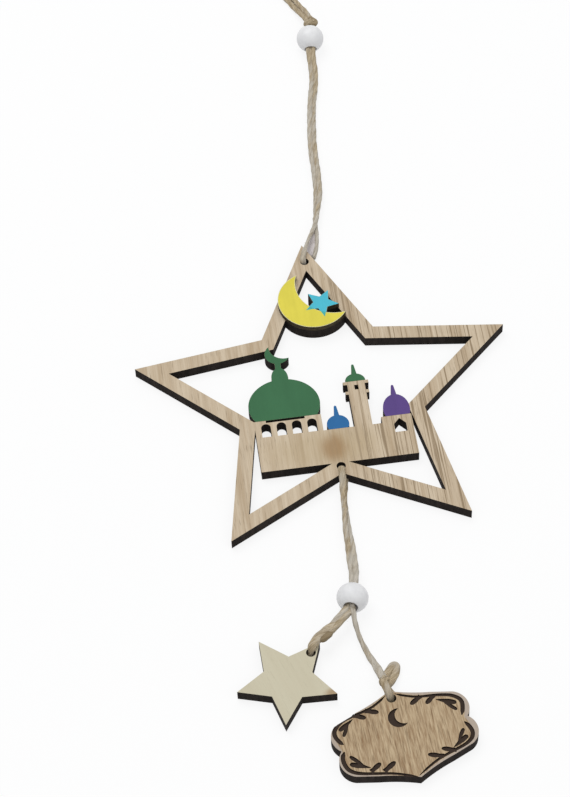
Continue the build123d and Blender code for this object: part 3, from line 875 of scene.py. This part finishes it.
def fuzz_shell(points, tangent, across, over, radius, seed):
    """Loose fibres: each starts in the strand, leans along it and outwards, curls with the square
    of the distance along it and tapers, with a section of three corners."""
    draw = np.random.default_rng(int(seed * 1000) + 7)
    along = run_along(points)
    count = max(int(along[-1] * bpy.context.scene.ornament_sizes.fuzz_per_metre), 4)
    at = draw.integers(2, len(points) - 2, count)
    angle = draw.uniform(0, FULL_TURN, count)[:, None]
    outward = np.cos(angle) * across[at] + np.sin(angle) * over[at]
    aside = np.cross(tangent[at], outward)
    girth = np.broadcast_to(radius, along.shape)[at][:, None]
    root = points[at] + outward * girth * 0.75
    lean = draw.choice((-1.0, 1.0), count)[:, None] * draw.uniform(0.5, 1.0, count)[:, None]
    way = tangent[at] * lean + outward * draw.uniform(0.25, 0.75, count)[:, None]
    way += aside * draw.normal(0, 0.3, count)[:, None]
    curl = tangent[at] * draw.normal(0, 0.4, count)[:, None]
    curl += aside * draw.normal(0, 0.4, count)[:, None] - outward * 0.3
    reach = draw.uniform(0.0005, 0.0013, count)[:, None, None]
    share = np.linspace(0, 1, 5)[None, :, None]
    path = root[:, None] + reach * (way[:, None] * share + curl[:, None] * share**2)
    first = unit(np.cross(way, outward + 0.01 * tangent[at]))
    second = unit(np.cross(way, first))
    corner = np.radians((0, 120, 240))[None, None, :, None]
    ring = np.cos(corner) * first[:, None, None] + np.sin(corner) * second[:, None, None]
    thick = 0.000022 * (1 - 0.8 * share)[..., None]
    surface = above_table(path[:, :, None] + thick * ring)
    lay = np.zeros(surface.shape)
    lay[..., 0] = np.cos(angle)[:, :, None]
    lay[..., 1] = np.sin(angle)[:, :, None]
    lay[..., 2] = along[at][:, None, None] / MM
    return surface, {"lay": lay, "groove": np.zeros(surface.shape[:3])}


def knot_shells(middle, way, size, seed, scale=1.0):
    """A tight overhand knot: a strand along the curve (2 + cos 3t) times (cos 2t, sin 2t), with
    height 1.25 sin 3t, scaled to size and tipped so that its axis leans off the cord's way."""
    t = np.linspace(0, FULL_TURN, 261)
    curve = np.column_stack([(2 + np.cos(3 * t)) * np.cos(2 * t),
                             (2 + np.cos(3 * t)) * np.sin(2 * t), 1.25 * np.sin(3 * t)])
    along_way = unit(np.array(way))
    sideways = unit(np.cross(UP, along_way))
    axis = unit(0.75 * along_way + 0.5 * sideways + 0.45 * UP)
    first = unit(np.cross(axis, sideways))
    second = np.cross(axis, first)
    points = np.array(middle) + size * (curve @ np.stack([first, second, axis]))
    tangent = unit(np.gradient(points, axis=0))
    tangent[0] = tangent[-1] = unit(points[1] - points[-2])
    bend = np.gradient(tangent, axis=0)
    bend[0] = bend[-1] = bend[1]
    across = unit(bend - np.sum(bend * tangent, axis=1, keepdims=True) * tangent)
    over = np.cross(tangent, across)
    radius = 0.5 * bpy.context.scene.ornament_sizes.twine_diameter * scale
    strand = strand_shell(points, across, over, radius, run_along(points)[-1] / 3, seed)
    return [strand, fuzz_shell(points, tangent, across, over, radius, seed)]


def bead_shell(middle, way, length, bore):
    """A turned bead: its section is carried round the line through the bore. The section is half
    an ellipse cut off at the bore, a quarter round at each mouth, and the wall of the bore."""
    diameter = bpy.context.scene.ornament_sizes.bead_diameter
    radius, length, bore = 0.5 * np.array((diameter, length, bore))
    ease = 0.04 * radius
    mouth = np.arcsin((bore + ease) / radius)
    end = length * np.cos(mouth)
    side = np.linspace(mouth, np.pi - mouth, 32)
    eased = np.linspace(0.0, 0.5 * np.pi, 6)[1:]
    outer = np.column_stack([radius * np.sin(side), length * np.cos(side)])
    rim = np.column_stack([bore + ease * (1 - np.sin(eased)), ease * (1 - np.cos(eased)) - end])
    wall = np.column_stack([np.full(5, bore), np.linspace(-0.8, 0.8, 5) * (end - ease)])
    section = np.concatenate([outer, rim, wall, rim[::-1] * (1, -1)])
    axis = unit(np.array(way))
    sideways = unit(np.cross(axis, UP))
    upward = np.cross(sideways, axis)
    turn = np.linspace(0.0, 2 * np.pi, 49)[:, None]
    outward = np.cos(turn) * sideways + np.sin(turn) * upward
    surface = (np.array(middle) + section[None, :, :1] * outward[:, None]
               + section[None, :, 1:] * axis)
    return surface[None], {}


def film_shell(left, right, low, high):
    """A flat film between two edge lines: at each row the section is a thin closed lens, the top
    of 6 points from left to right and the bottom of 2, with eased top corners."""
    share = np.array((0.0, 0.04, 0.3, 0.7, 0.96, 1.0))
    top = left[:, None] + share[None, :, None] * (right - left)[:, None]
    drop = np.array((0.4, 0.0, 0.0, 0.0, 0.0, 0.4)) * (high - low)
    levels = np.concatenate([high - drop, (low, low)])
    flat = np.concatenate([top, np.stack([right, left], axis=1)], axis=1)
    return raised(flat, levels[None, :, None]), {}


def raised(flat, levels):
    """Points of the plane at their levels, as one copy of a grid."""
    tall = np.broadcast_to(levels, (*flat.shape[:-1], 1))
    return np.concatenate([flat, tall], axis=2)[None]


def dome_widths(heights, _middle, base, half_width, belly, crown):
    """Half width of a dome at each height: an ellipse about the belly, cut off at the base."""
    rise = np.clip((heights - base - belly) / crown, -1, 1)
    inside = (heights >= base) & (heights <= base + belly + crown)
    return np.where(inside, half_width * np.sqrt(1 - rise**2), 0.0)


def spire_widths(heights, foot):
    """Half width of a spire at each height: a straight taper with a round tip."""
    tip = foot + SPIRE_HEIGHT - SPIRE_TIP
    taper = SPIRE_FOOT + (SPIRE_TIP - SPIRE_FOOT) * (heights - foot) / (tip - foot)
    cap = np.sqrt(np.clip(SPIRE_TIP**2 - (heights - tip) ** 2, 0, None))
    inside = (heights >= foot) & (heights <= tip + SPIRE_TIP)
    return np.where(inside, np.where(heights > tip, cap, taper), 0.0)


def on_star(points):
    """Star-centred millimetres moved to the star's place, in metres."""
    return (np.asarray(points) + STAR_MIDDLE) * MM


def upright_film(middle, heights, widths, low, high):
    """A film that is the same to both sides of an upright middle line, star-centred mm."""
    edge = np.maximum(widths - FILM_INSET, FILM_INSET)
    left = np.column_stack([middle - edge, heights])
    right = np.column_stack([middle + edge, heights])
    return film_shell(on_star(left), on_star(right), low, high)


def crescent_edges(middle, radius, hollow_radius, shift, turn, inset=0.0, count=72):
    """The outer and the inner arc of a crescent from horn to horn, a disc less a shifted disc."""
    outer_radius = radius - inset
    inner_radius = hollow_radius + inset
    along = (shift**2 + outer_radius**2 - inner_radius**2) / (2 * shift)
    half = np.arccos(along / outer_radius)
    inner_half = np.arctan2(np.sqrt(outer_radius**2 - along**2), along - shift)
    share = np.linspace(-1, 1, count)[:, None]
    way = np.radians(turn)
    outer = way + np.pi + share * (np.pi - half)
    inner = way + np.pi + share * (np.pi - inner_half)
    hollow = np.array(middle) + shift * np.array((np.cos(way), np.sin(way)))
    outer_line = np.array(middle) + outer_radius * np.hstack([np.cos(outer), np.sin(outer)])
    inner_line = hollow + inner_radius * np.hstack([np.cos(inner), np.sin(inner)])
    return outer_line, inner_line


def star_film(middle, tips, notch_radius, low, high):
    """A star's film: the outline from tip to notch, drawn in towards the middle in rings, top and
    bottom. The tips are given; each notch lies half-way round between its tips."""
    ends = np.array(tips) - np.array(middle)
    between = unit(unit(ends) + unit(np.roll(ends, -1, axis=0))) * notch_radius
    corners = np.stack([ends, between], axis=1).reshape(-1, 2)
    share = np.linspace(0, 1, 6, endpoint=False)[None, :, None]
    outline = corners[:, None] * (1 - share) + np.roll(corners, -1, axis=0)[:, None] * share
    fractions = np.array((0.01, 0.5, 0.96, 1.0, 1.0, 0.01))
    levels = np.array((high, high, high, high - 0.4 * (high - low), low, low))
    flat = np.array(middle) + fractions[:, None, None] * outline.reshape(1, -1, 2)
    return raised(on_star(flat), levels[:, None, None]), {}


def smooth_line(points, samples=14):
    """A Catmull-Rom line through the points."""
    known = np.array(points)
    padded = np.vstack([2 * known[0] - known[1], known, 2 * known[-1] - known[-2]])
    before, first, second, after = padded[:-3], padded[1:-2], padded[2:-1], padded[3:]
    t = np.linspace(0, 1, samples, endpoint=False)[None, :, None]
    curve = 0.5 * (2 * first[:, None] + (second - before)[:, None] * t
                   + (2 * before - 5 * first + 4 * second - after)[:, None] * t**2
                   + (3 * first - before - 3 * second + after)[:, None] * t**3)
    return np.vstack([curve.reshape(-1, 2), known[-1]])


def on_plaque(points):
    """Plaque-centred millimetres turned and moved to the plaque's place, in metres."""
    way = np.radians(PLAQUE_TURN)
    across = points @ np.array(((np.cos(way), np.sin(way)), (-np.sin(way), np.cos(way))))
    return (across + PLAQUE_MIDDLE) * MM


def groove_shell(left, right, low, high):
    """The tool that cuts a groove: four corners at each row, narrower at the bottom."""
    middle = 0.5 * (left + right)
    low_left = middle + 0.8 * (left - middle)
    low_right = middle + 0.8 * (right - middle)
    flat = np.stack([low_left, low_right, right, left], axis=1)
    return raised(flat, np.array((low, low, high, high))[None, :, None]), {}


def stroke_shell(line, widths, low, high):
    """A groove along a line, its width given at each point."""
    tangent = unit(np.gradient(line, axis=0))
    side = np.column_stack([-tangent[:, 1], tangent[:, 0]]) * 0.5 * widths[:, None]
    return groove_shell(on_plaque(line + side), on_plaque(line - side), low, high)


def engraving_shells(sizes):
    """The grooves of the plaque: border lines that thin towards their ends and the plaque's
    middle, leaves as straight strokes of changing width, and the small crescent."""
    low = SHEET_TOP - sizes.engraving_depth
    high = SHEET_TOP + ENGRAVING_HEADROOM
    width = sizes.border_width / MM
    shells = []
    for points in BORDER_LINES:
        line = smooth_line(points)
        thick = np.interp(np.abs(line[:, 0]), (0.0, 9.0, 13.0, 15.5), (0.55, 0.75, 0.9, 1.1))
        steps = np.arange(len(line))
        ends = np.interp(np.minimum(steps, steps[::-1]), (0, 9), (0.25, 1.0))
        shells.append(stroke_shell(line, width * thick * ends, low, high))
    share = np.linspace(0.0, 1.0, 24)
    for leaves, places, widths in (
            (TWIG_LEAVES, (0, 0.3, 0.55, 0.8, 0.95, 1.0), (1.05, 0.9, 1.12, 1.0, 0.62, 0.15)),
            (LOBE_LEAVES, (0, 0.25, 0.6, 0.85, 0.96, 1.0), (0.08, 0.5, 0.95, 0.9, 0.65, 0.15))):
        shape = np.interp(share, places, widths)
        for first, last, thick in leaves:
            line = np.array(first) + share[:, None] * (np.array(last) - np.array(first))
            shells.append(stroke_shell(line, thick * shape, low, high))
    outer, inner = crescent_edges(*PLAQUE_MOON, count=40)
    shells.append(groove_shell(on_plaque(outer), on_plaque(inner), low, high))
    return shells


def cut_from_node(node, shells):
    """The mesh of a CAD node, copied and merged, less the shells."""
    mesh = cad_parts[node].data.copy()
    merged = bmesh.new()
    merged.from_mesh(mesh)
    bmesh.ops.remove_doubles(merged, verts=merged.verts, dist=1e-7)
    merged.to_mesh(mesh)
    merged.free()
    blank = add_object(node + "_blank", mesh)
    tool = make_piece(node + "_tool", shells, None, smooth=False)
    cut = blank.modifiers.new("cut", "BOOLEAN")
    cut.operation = "DIFFERENCE"
    cut.solver = "EXACT"
    cut.use_self = True
    cut.object = tool
    graph = bpy.context.evaluated_depsgraph_get()
    result = bpy.data.meshes.new_from_object(blank.evaluated_get(graph))
    if len(result.polygons) <= len(mesh.polygons):
        raise RuntimeError(f"nothing was cut from {node}")
    bpy.data.objects.remove(blank)
    bpy.data.objects.remove(tool)
    return result


# Setting pieces on their bodies

def hang(piece, body, *nodes, slot="twine"):
    """Sets a piece on its body in place of CAD nodes."""
    if nodes:
        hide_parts(*nodes)
    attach(piece, body)


def bend_between(piece, first, second, pivot, way, reach, *nodes):
    """Sets a piece of cord in place of CAD nodes, with its place baked into its mesh."""
    if nodes:
        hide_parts(*nodes)
    step = unit(np.array(way)) * reach
    start = tuple(float(v) for v in np.array(pivot) - step)
    end = tuple(float(v) for v in np.array(pivot) + step)
    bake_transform(piece)


def dress(node, material):
    """Gives a CAD node its material."""
    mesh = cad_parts[node].data
    mesh.materials.clear()
    mesh.materials.append(material)


def twine_piece(name, *strands):
    """A piece of twine from its strands, each a list of shells. Its finish is made once."""
    jute = bpy.data.materials.get("jute_twine")
    if jute is None:
        colours = bpy.context.scene.ornament_colours
        jute = twine_finish("jute_twine", colours.twine, colours.twine_shade, colours.twine_grey,
                            colours.twine_pale)
    return make_piece(name, sum(strands, []), jute)


def paint_piece(name, films, paint):
    """Films of paint on the star."""
    hang(make_piece(name, films, paint, smooth=False), "star", slot="applique")


# Operators

class ORNAMENT_OT_stage(bpy.types.Operator):
    """White table, soft light and the camera"""

    bl_idname = "ornament.stage"
    bl_label = "Stage"

    def execute(self, context):
        stage = context.scene.ornament_stage
        finish = Finish("white_table")
        matt = finish.node("ShaderNodeBsdfDiffuse", None, {"Color": (*stage.floor, 1.0)})
        white = finish.node("ShaderNodeEmission", None, {"Color": WHITE, "Strength": 1.0})
        both = finish.node("ShaderNodeMixShader", None,
                           {0: finish.seen_directly() * TABLE_GLOW, 1: matt, 2: white})
        finish.node("ShaderNodeOutputMaterial", None, {"Surface": both})
        corners = [(x * TABLE_REACH, y * TABLE_REACH, TABLE_LEVEL)
                   for x, y in ((-1, -1), (1, -1), (1, 1), (-1, 1))]
        mesh = bpy.data.meshes.new("table")
        mesh.from_pydata(corners, [], [(0, 1, 2, 3)])
        mesh.materials.append(finish.material)
        add_object("table", mesh)

        world = bpy.data.worlds.new("even_light")
        context.scene.world = world
        world.use_nodes = True
        sky = Nodes(world.node_tree)
        even = sky.node("ShaderNodeBackground", None,
                        {"Color": (0.97, 0.98, 1.0, 1.0), "Strength": stage.sky})
        backdrop = sky.node("ShaderNodeBackground", None, {"Color": WHITE, "Strength": 1.0})
        both = sky.node("ShaderNodeMixShader", None, {0: sky.seen_directly(), 1: even, 2: backdrop})
        sky.node("ShaderNodeOutputWorld", None, {"Surface": both})

        self.add_lamp("key", (-0.25, 0.55, 1.25), 0.9, stage.key_power)
        self.add_lamp("fill", (0.5, -0.6, 1.1), 1.0, 0.35 * stage.key_power)
        context.scene.camera = self.add_camera()
        context.scene.view_settings.view_transform = "Standard"
        return {"FINISHED"}

    def add_lamp(self, name, place, size, power):
        """A square lamp that faces the ornament."""
        lamp = bpy.data.lights.new(name, "AREA")
        lamp.shape = "SQUARE"
        lamp.size = size
        lamp.energy = power
        holder = add_object(name, lamp)
        holder.location = place
        aim = Vector(LAMP_AIM) - Vector(place)
        holder.rotation_euler = aim.to_track_quat("-Z", "Y").to_euler()

    def add_camera(self):
        """The camera: it looks along a line given by azimuth and elevation, then rolls."""
        azimuth, elevation, roll = np.radians(CAMERA_ANGLES)
        level = np.array((np.cos(azimuth), np.sin(azimuth), 0.0))
        back = np.array((np.sin(azimuth) * np.cos(elevation), -np.cos(azimuth) * np.cos(elevation),
                         np.sin(elevation)))
        upright = np.cross(back, level)
        right = np.cos(roll) * level + np.sin(roll) * upright
        top = -np.sin(roll) * level + np.cos(roll) * upright
        matrix = np.eye(4)
        matrix[:3] = np.column_stack([right, top, back, CAMERA_PLACE])
        camera = bpy.data.cameras.new("camera")
        camera.lens = CAMERA_LENS
        camera.sensor_width = 36.0
        camera.clip_start = 0.01
        holder = add_object("camera", camera)
        holder.matrix_world = Matrix(matrix.tolist())
        return holder


class ORNAMENT_OT_beads(bpy.types.Operator):
    """The two white beads, their bores tipped the way the cord runs through them"""

    bl_idname = "ornament.beads"
    bl_label = "Beads"

    def execute(self, context):
        white = bead_finish("white_bead_paint", context.scene.ornament_colours.bead)
        for node, body, shape in (("upper_bead", "top_bead", UPPER_BEAD),
                                  ("lower_bead", "drop_bead", LOWER_BEAD)):
            bead = make_piece(node + "_turned", [bead_shell(*shape)], white)
            hang(bead, body, node, slot="bead")
        return {"FINISHED"}


class ORNAMENT_OT_hanger(bpy.types.Operator):
    """Twine above the star: the eye in its tip, the twisted pair, the knot and the loop"""

    bl_idname = "ornament.hanger"
    bl_label = "Hanger"

    def execute(self, context):
        size = context.scene.ornament_sizes.twine_diameter
        middle, first, second = trimmed_pair(HANGER_PAIR, HANGER_TURN, size)
        broad = varied(middle, (0.0, 0.010, 0.055, 0.064, 0.075), (0.95, 1.12, 1.08, 1.2, 1.08))
        greyness = varied(middle, (0.0, 0.015, 0.040, 0.060, 0.075), (0.9, 0.8, 0.9, 0.3, 0.0))
        pressed = varied(middle, (0.052, 0.060), (1.0, 0.75))
        # Below 0 the first strand's grey darkens it towards the knot, painted shade
        pair = twine_piece("hanger_pair_twine",
                           twine_shells(first, UP, 0.3, broad, pressed, greyness - 0.3),
                           twine_shells(second, UP, 1.1, broad, pressed, greyness))
        hang(pair, "hanger", "hanger_pair")
        # The collar's grey below 0 darkens it, painted shade on the knot
        collar = read_route(HANGER_KNOT_TURN)
        knot = twine_piece("hanger_knot_twine",
                           knot_shells(HANGER_KNOT_MIDDLE, (0.09, 0.9, 0.4), 0.0004, 0.7),
                           twine_shells(collar, UP, 1.6, 1.25, 1.15, grey=-0.7, taper=(2.0, 2.0)))
        hang(knot, "hanger", "hanger_knot")
        route = read_route(HANGER_LOOP)
        loop = twine_piece("hanger_loop_twine", twine_shells(route, UP, 2.3, 1.22))
        hang(loop, "hanger", "hanger_loop")
        front, back, web = map(read_route, (HANGER_EYE_FRONT, HANGER_EYE_BACK, HANGER_EYE_WEB))
        reference = np.array((0.95, -0.31, 0.0))
        spread = varied(front, (0.0, 0.006, 0.010, 0.013, 0.019), (1.0, 0.85, 0.66, 0.75, 1.2))
        trail = varied(back, (0.0, 0.006, 0.011, 0.016), (1.0, 0.9, 0.8, 0.85))
        flat = varied(web, (0.0, 0.004, 0.009), (1.3, 1.9, 2.4))
        eye = twine_piece("hanger_eye_twine",
                          twine_shells(front, reference, 0.5, spread, grey=1.0),
                          twine_shells(back, reference, 1.7, trail, grey=1.1),
                          twine_shells(web, reference, 2.6, flat, 0.6, grey=2.0))
        bend_between(eye, "star", "hanger", HANGER_PIVOT, (0.15, 0.98, 0.0), 0.0022, "hanger_eye")
        return {"FINISHED"}


class ORNAMENT_OT_drop(bpy.types.Operator):
    """Twine below the star: the eye in its notch, the pair through the lower bead and the strands
    to the pendants"""

    bl_idname = "ornament.drop"
    bl_label = "Drop"

    def execute(self, context):
        size = context.scene.ornament_sizes.twine_diameter
        middle, first, second = trimmed_pair(DROP_PAIR, DROP_TURN, size)
        broad = varied(middle, (0.0, 0.008, 0.018, 0.024), (1.0, 1.1, 1.2, 1.06))
        greyness = varied(middle, (0.0, 0.012, 0.024), (0.5, 0.5, 1.0))
        pair = twine_piece("drop_pair_twine",
                           twine_shells(first, UP, 0.9, broad, grey=greyness),
                           twine_shells(second, UP, 2.6, broad, grey=greyness + 0.3))
        hang(pair, "drop", "drop_pair")
        reference = np.array((1.0, 0.0, 0.0))
        front, back = map(read_route, (DROP_EYE_FRONT, DROP_EYE_BACK))
        spread = varied(front, (0.0, 0.010, 0.014, 0.019), (1.35, 1.25, 1.0, 0.8))
        eye = twine_piece("drop_eye_twine",
                          twine_shells(front, reference, 1.3, spread, grey=0.15, taper=(1.0, 7.0)),
                          twine_shells(back, reference, 0.2, taper=(1.0, 4.0)))
        bend_between(eye, "star", "drop", DROP_PIVOT, (-0.03, -1.0, 0.0), 0.0022, "drop_eye")
        left, right = twist_pair(read_route(STAR_STRAND), STAR_STRAND_TURN, PAIR_OFFSET * size)
        star_strand = twine_piece("star_strand_twine",
                                  twine_shells(left, UP, 3.1, 1.25, grey=0.6, taper=(1.0, 5.0)),
                                  twine_shells(right, UP, 0.6, 1.25, grey=0.2, taper=(1.0, 5.0)))
        bend_between(star_strand, "drop", "star_cord", STAR_STRAND_PIVOT, (-0.82, -0.57, 0.0),
                     0.0012, "star_strand")
        line = read_route(PLAQUE_STRAND)
        swell = np.interp(np.linspace(0, 1, len(line)), (0, 0.15, 0.35, 0.6, 0.88, 1),
                          (1.0, 0.95, 0.85, 1.05, 1.6, 1.35))
        plaque_strand = twine_piece("plaque_strand_twine",
                                    twine_shells(line, UP, 1.9, swell, np.minimum(swell, 1.0), 0.9))
        bend_between(plaque_strand, "drop", "plaque_cord", PLAQUE_STRAND_PIVOT, (-0.03, -1.0, 0.0),
                     0.0012, "plaque_strand")
        return {"FINISHED"}


class ORNAMENT_OT_pendant_ties(bpy.types.Operator):
    """Twine on the pendants: the small star's eye, and the plaque's knot, bow and legs"""

    bl_idname = "ornament.pendant_ties"
    bl_label = "Pendant ties"

    def execute(self, context):
        front, back, turn = map(
            read_route, (SMALL_STAR_EYE_FRONT, SMALL_STAR_EYE_BACK, SMALL_STAR_TURN))
        reference = np.array((0.66, -0.75, 0.0))
        spread = varied(front, (0.0, 0.003, 0.006, 0.008, 0.011), (1.2, 1.8, 1.95, 1.8, 1.3))
        # The turn's grey below 0 darkens it, painted shade where the cord turns at the eye
        eye = twine_piece("small_star_eye_twine",
                          twine_shells(front, reference, 0.4, spread, grey=0.2, taper=(6.0, 1.0)),
                          twine_shells(back, UP, 2.2),
                          twine_shells(turn, UP, 0.9, 1.3, 1.05, grey=-0.9, taper=(3.0, 3.0)))
        bend_between(eye, "star_cord", "star_pendant", SMALL_STAR_PIVOT, (-0.7, -0.71, 0.0), 0.0012,
                     "small_star_eye")
        front, back, bow = map(read_route, (PLAQUE_EYE_FRONT, PLAQUE_EYE_BACK, BOW))
        reference = np.array((0.98, 0.2, 0.0))
        tie = twine_piece("plaque_tie_twine",
                          twine_shells(front, reference, 1.5, 1.45),
                          twine_shells(back, UP, 0.8),
                          twine_shells(bow, UP, 2.9, 1.4, 0.95),
                          knot_shells(PLAQUE_KNOT_MIDDLE, (0.2, -0.98, 0.0), 0.00030, 1.2, 0.9))
        hang(tie, "plaque_pendant", "plaque_tie")
        return {"FINISHED"}


class ORNAMENT_OT_star_sheet(bpy.types.Operator):
    """Wood on the star and the small star"""

    bl_idname = "ornament.star_sheet"
    bl_label = "Star sheets"

    def execute(self, context):
        colours = context.scene.ornament_colours
        sheet = wood_finish("raw_plywood", colours.sheet, colours.sheet_grain, colours.burnt,
                            lines=1.0, marks=SHEET_MARKS)
        dress("star_plate", sheet)
        pale = wood_finish("pale_plywood", colours.pendant, colours.pendant_grain, colours.burnt,
                           turn=20.0, contrast=0.7, pores=0.15, marks=SMALL_STAR_MARKS)
        dress("small_star", pale)
        return {"FINISHED"}


class ORNAMENT_OT_dome_paint(bpy.types.Operator):
    """Paint on the domes, the minaret cap and the dome's finial"""

    bl_idname = "ornament.dome_paint"
    bl_label = "Dome paint"

    def execute(self, context):
        colours = context.scene.ornament_colours
        low = SHEET_TOP - FILM_SINK
        high = SHEET_TOP + context.scene.ornament_sizes.paint_film
        green = paint_finish("green_paint", colours.green)
        middle, base = MAIN_DOME[:2]
        heights = np.linspace(base + FILM_INSET, NECK_TOP + 0.3, 220)
        widths = np.maximum(dome_widths(heights, *MAIN_DOME), dome_widths(heights, *BULB))
        neck = np.where(heights > BULB[1], NECK_HALF_WIDTH, 0.0)
        main_film = upright_film(middle, heights, np.maximum(widths, neck), low, high)
        outer, inner = crescent_edges(*FINIAL, inset=FILM_INSET)
        finial = film_shell(on_star(outer), on_star(inner), low, high + FILM_STEP)
        paint_piece("main_dome_paint", [main_film, finial], green)
        for name, dome, paint in (
                ("minaret_cap_paint", CAP_DOME, green),
                ("side_dome_paint", SIDE_DOME, paint_finish("blue_paint", colours.blue)),
                ("gate_dome_paint", GATE_DOME, paint_finish("purple_paint", colours.purple))):
            middle, base, _, belly, crown = dome
            foot = base + belly + crown - SPIRE_SINK
            heights = np.linspace(base + FILM_INSET, foot + SPIRE_HEIGHT, 160)
            widths = np.maximum(dome_widths(heights, *dome), spire_widths(heights, foot))
            paint_piece(name, [upright_film(middle, heights, widths, low, high)], paint)
        return {"FINISHED"}


class ORNAMENT_OT_moon(bpy.types.Operator):
    """Paint on the crescent layer and its little star"""

    bl_idname = "ornament.moon"
    bl_label = "Crescent"

    def execute(self, context):
        colours = context.scene.ornament_colours
        low = APPLIQUE_TOP - FILM_SINK
        high = APPLIQUE_TOP + context.scene.ornament_sizes.paint_film
        dress("moon_applique", applique_finish("applique_edge", APPLIQUE_HIGHLIGHT_RIM, APPLIQUE_BURNT))
        outer, inner = crescent_edges(*MOON, inset=MOON_INSET)
        moon = film_shell(on_star(outer), on_star(inner), low, high)
        paint_piece("crescent_paint", [moon], paint_finish("yellow_paint", colours.yellow))
        star = star_film(*MOON_STAR, low, high + 2 * FILM_STEP)
        cyan = paint_finish("cyan_paint", colours.cyan, CYAN_OVER_YELLOW, MOON)
        paint_piece("moon_star_paint", [star], cyan)
        return {"FINISHED"}


class ORNAMENT_OT_plaque(bpy.types.Operator):
    """The plaque with its engraved border, leaves and crescent"""

    bl_idname = "ornament.plaque"
    bl_label = "Plaque"

    def execute(self, context):
        colours = context.scene.ornament_colours
        engraved = cut_from_node("plaque", engraving_shells(context.scene.ornament_sizes))
        wood = wood_finish("grainy_plywood", colours.plaque, colours.plaque_grain, colours.burnt,
                           turn=3.0, contrast=1.15, pores=0.45, weights=(0.15, 0.15, 0.25, 0.45),
                           pore_level=0.53, engraved=(SHEET_TOP - 0.0001, colours.engraving),
                           rim=colours.plaque_rim)
        engraved.materials.clear()
        engraved.materials.append(wood)
        hang(add_object("engraved_plaque", engraved), "plaque_pendant", "plaque", slot="plaque")
        return {"FINISHED"}


class ORNAMENT_PT_sidebar(bpy.types.Panel):
    """Lists the ornament's steps and settings"""

    bl_idname = "ORNAMENT_PT_sidebar"
    bl_label = "Plywood star ornament"
    bl_space_type = "VIEW_3D"
    bl_region_type = "UI"
    bl_category = "Ornament"

    def draw(self, context):
        column = self.layout.column(align=True)
        for step in STEPS:
            column.operator(step.bl_idname)
        for group in ("ornament_sizes", "ornament_colours", "ornament_stage"):
            settings = getattr(context.scene, group)
            box = self.layout.box()
            for key in settings.__annotations__:
                box.prop(settings, key)


STEPS = (
    ORNAMENT_OT_stage, ORNAMENT_OT_beads, ORNAMENT_OT_hanger, ORNAMENT_OT_drop,
    ORNAMENT_OT_pendant_ties, ORNAMENT_OT_star_sheet, ORNAMENT_OT_dome_paint, ORNAMENT_OT_moon,
    ORNAMENT_OT_plaque,
)
GROUPS = (
    ("ornament_sizes", OrnamentSizes), ("ornament_colours", OrnamentColours),
    ("ornament_stage", StageSettings),
)


def register():
    """Adds the settings, the operators and the panel."""
    for name, group in GROUPS:
        bpy.utils.register_class(group)
        setattr(bpy.types.Scene, name, bpy.props.PointerProperty(type=group))
    for step in STEPS:
        bpy.utils.register_class(step)
    bpy.utils.register_class(ORNAMENT_PT_sidebar)


def unregister():
    """Takes away what register added."""
    bpy.utils.unregister_class(ORNAMENT_PT_sidebar)
    for step in reversed(STEPS):
        bpy.utils.unregister_class(step)
    for name, group in reversed(GROUPS):
        delattr(bpy.types.Scene, name)
        bpy.utils.unregister_class(group)


def main():
    """Builds every piece in order."""
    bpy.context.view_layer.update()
    register()
    bpy.ops.ornament.stage()
    bpy.ops.ornament.beads()
    bpy.ops.ornament.hanger()
    bpy.ops.ornament.drop()
    bpy.ops.ornament.pendant_ties()
    bpy.ops.ornament.star_sheet()
    bpy.ops.ornament.dome_paint()
    bpy.ops.ornament.moon()
    bpy.ops.ornament.plaque()


if __name__ == "__main__":
    main()
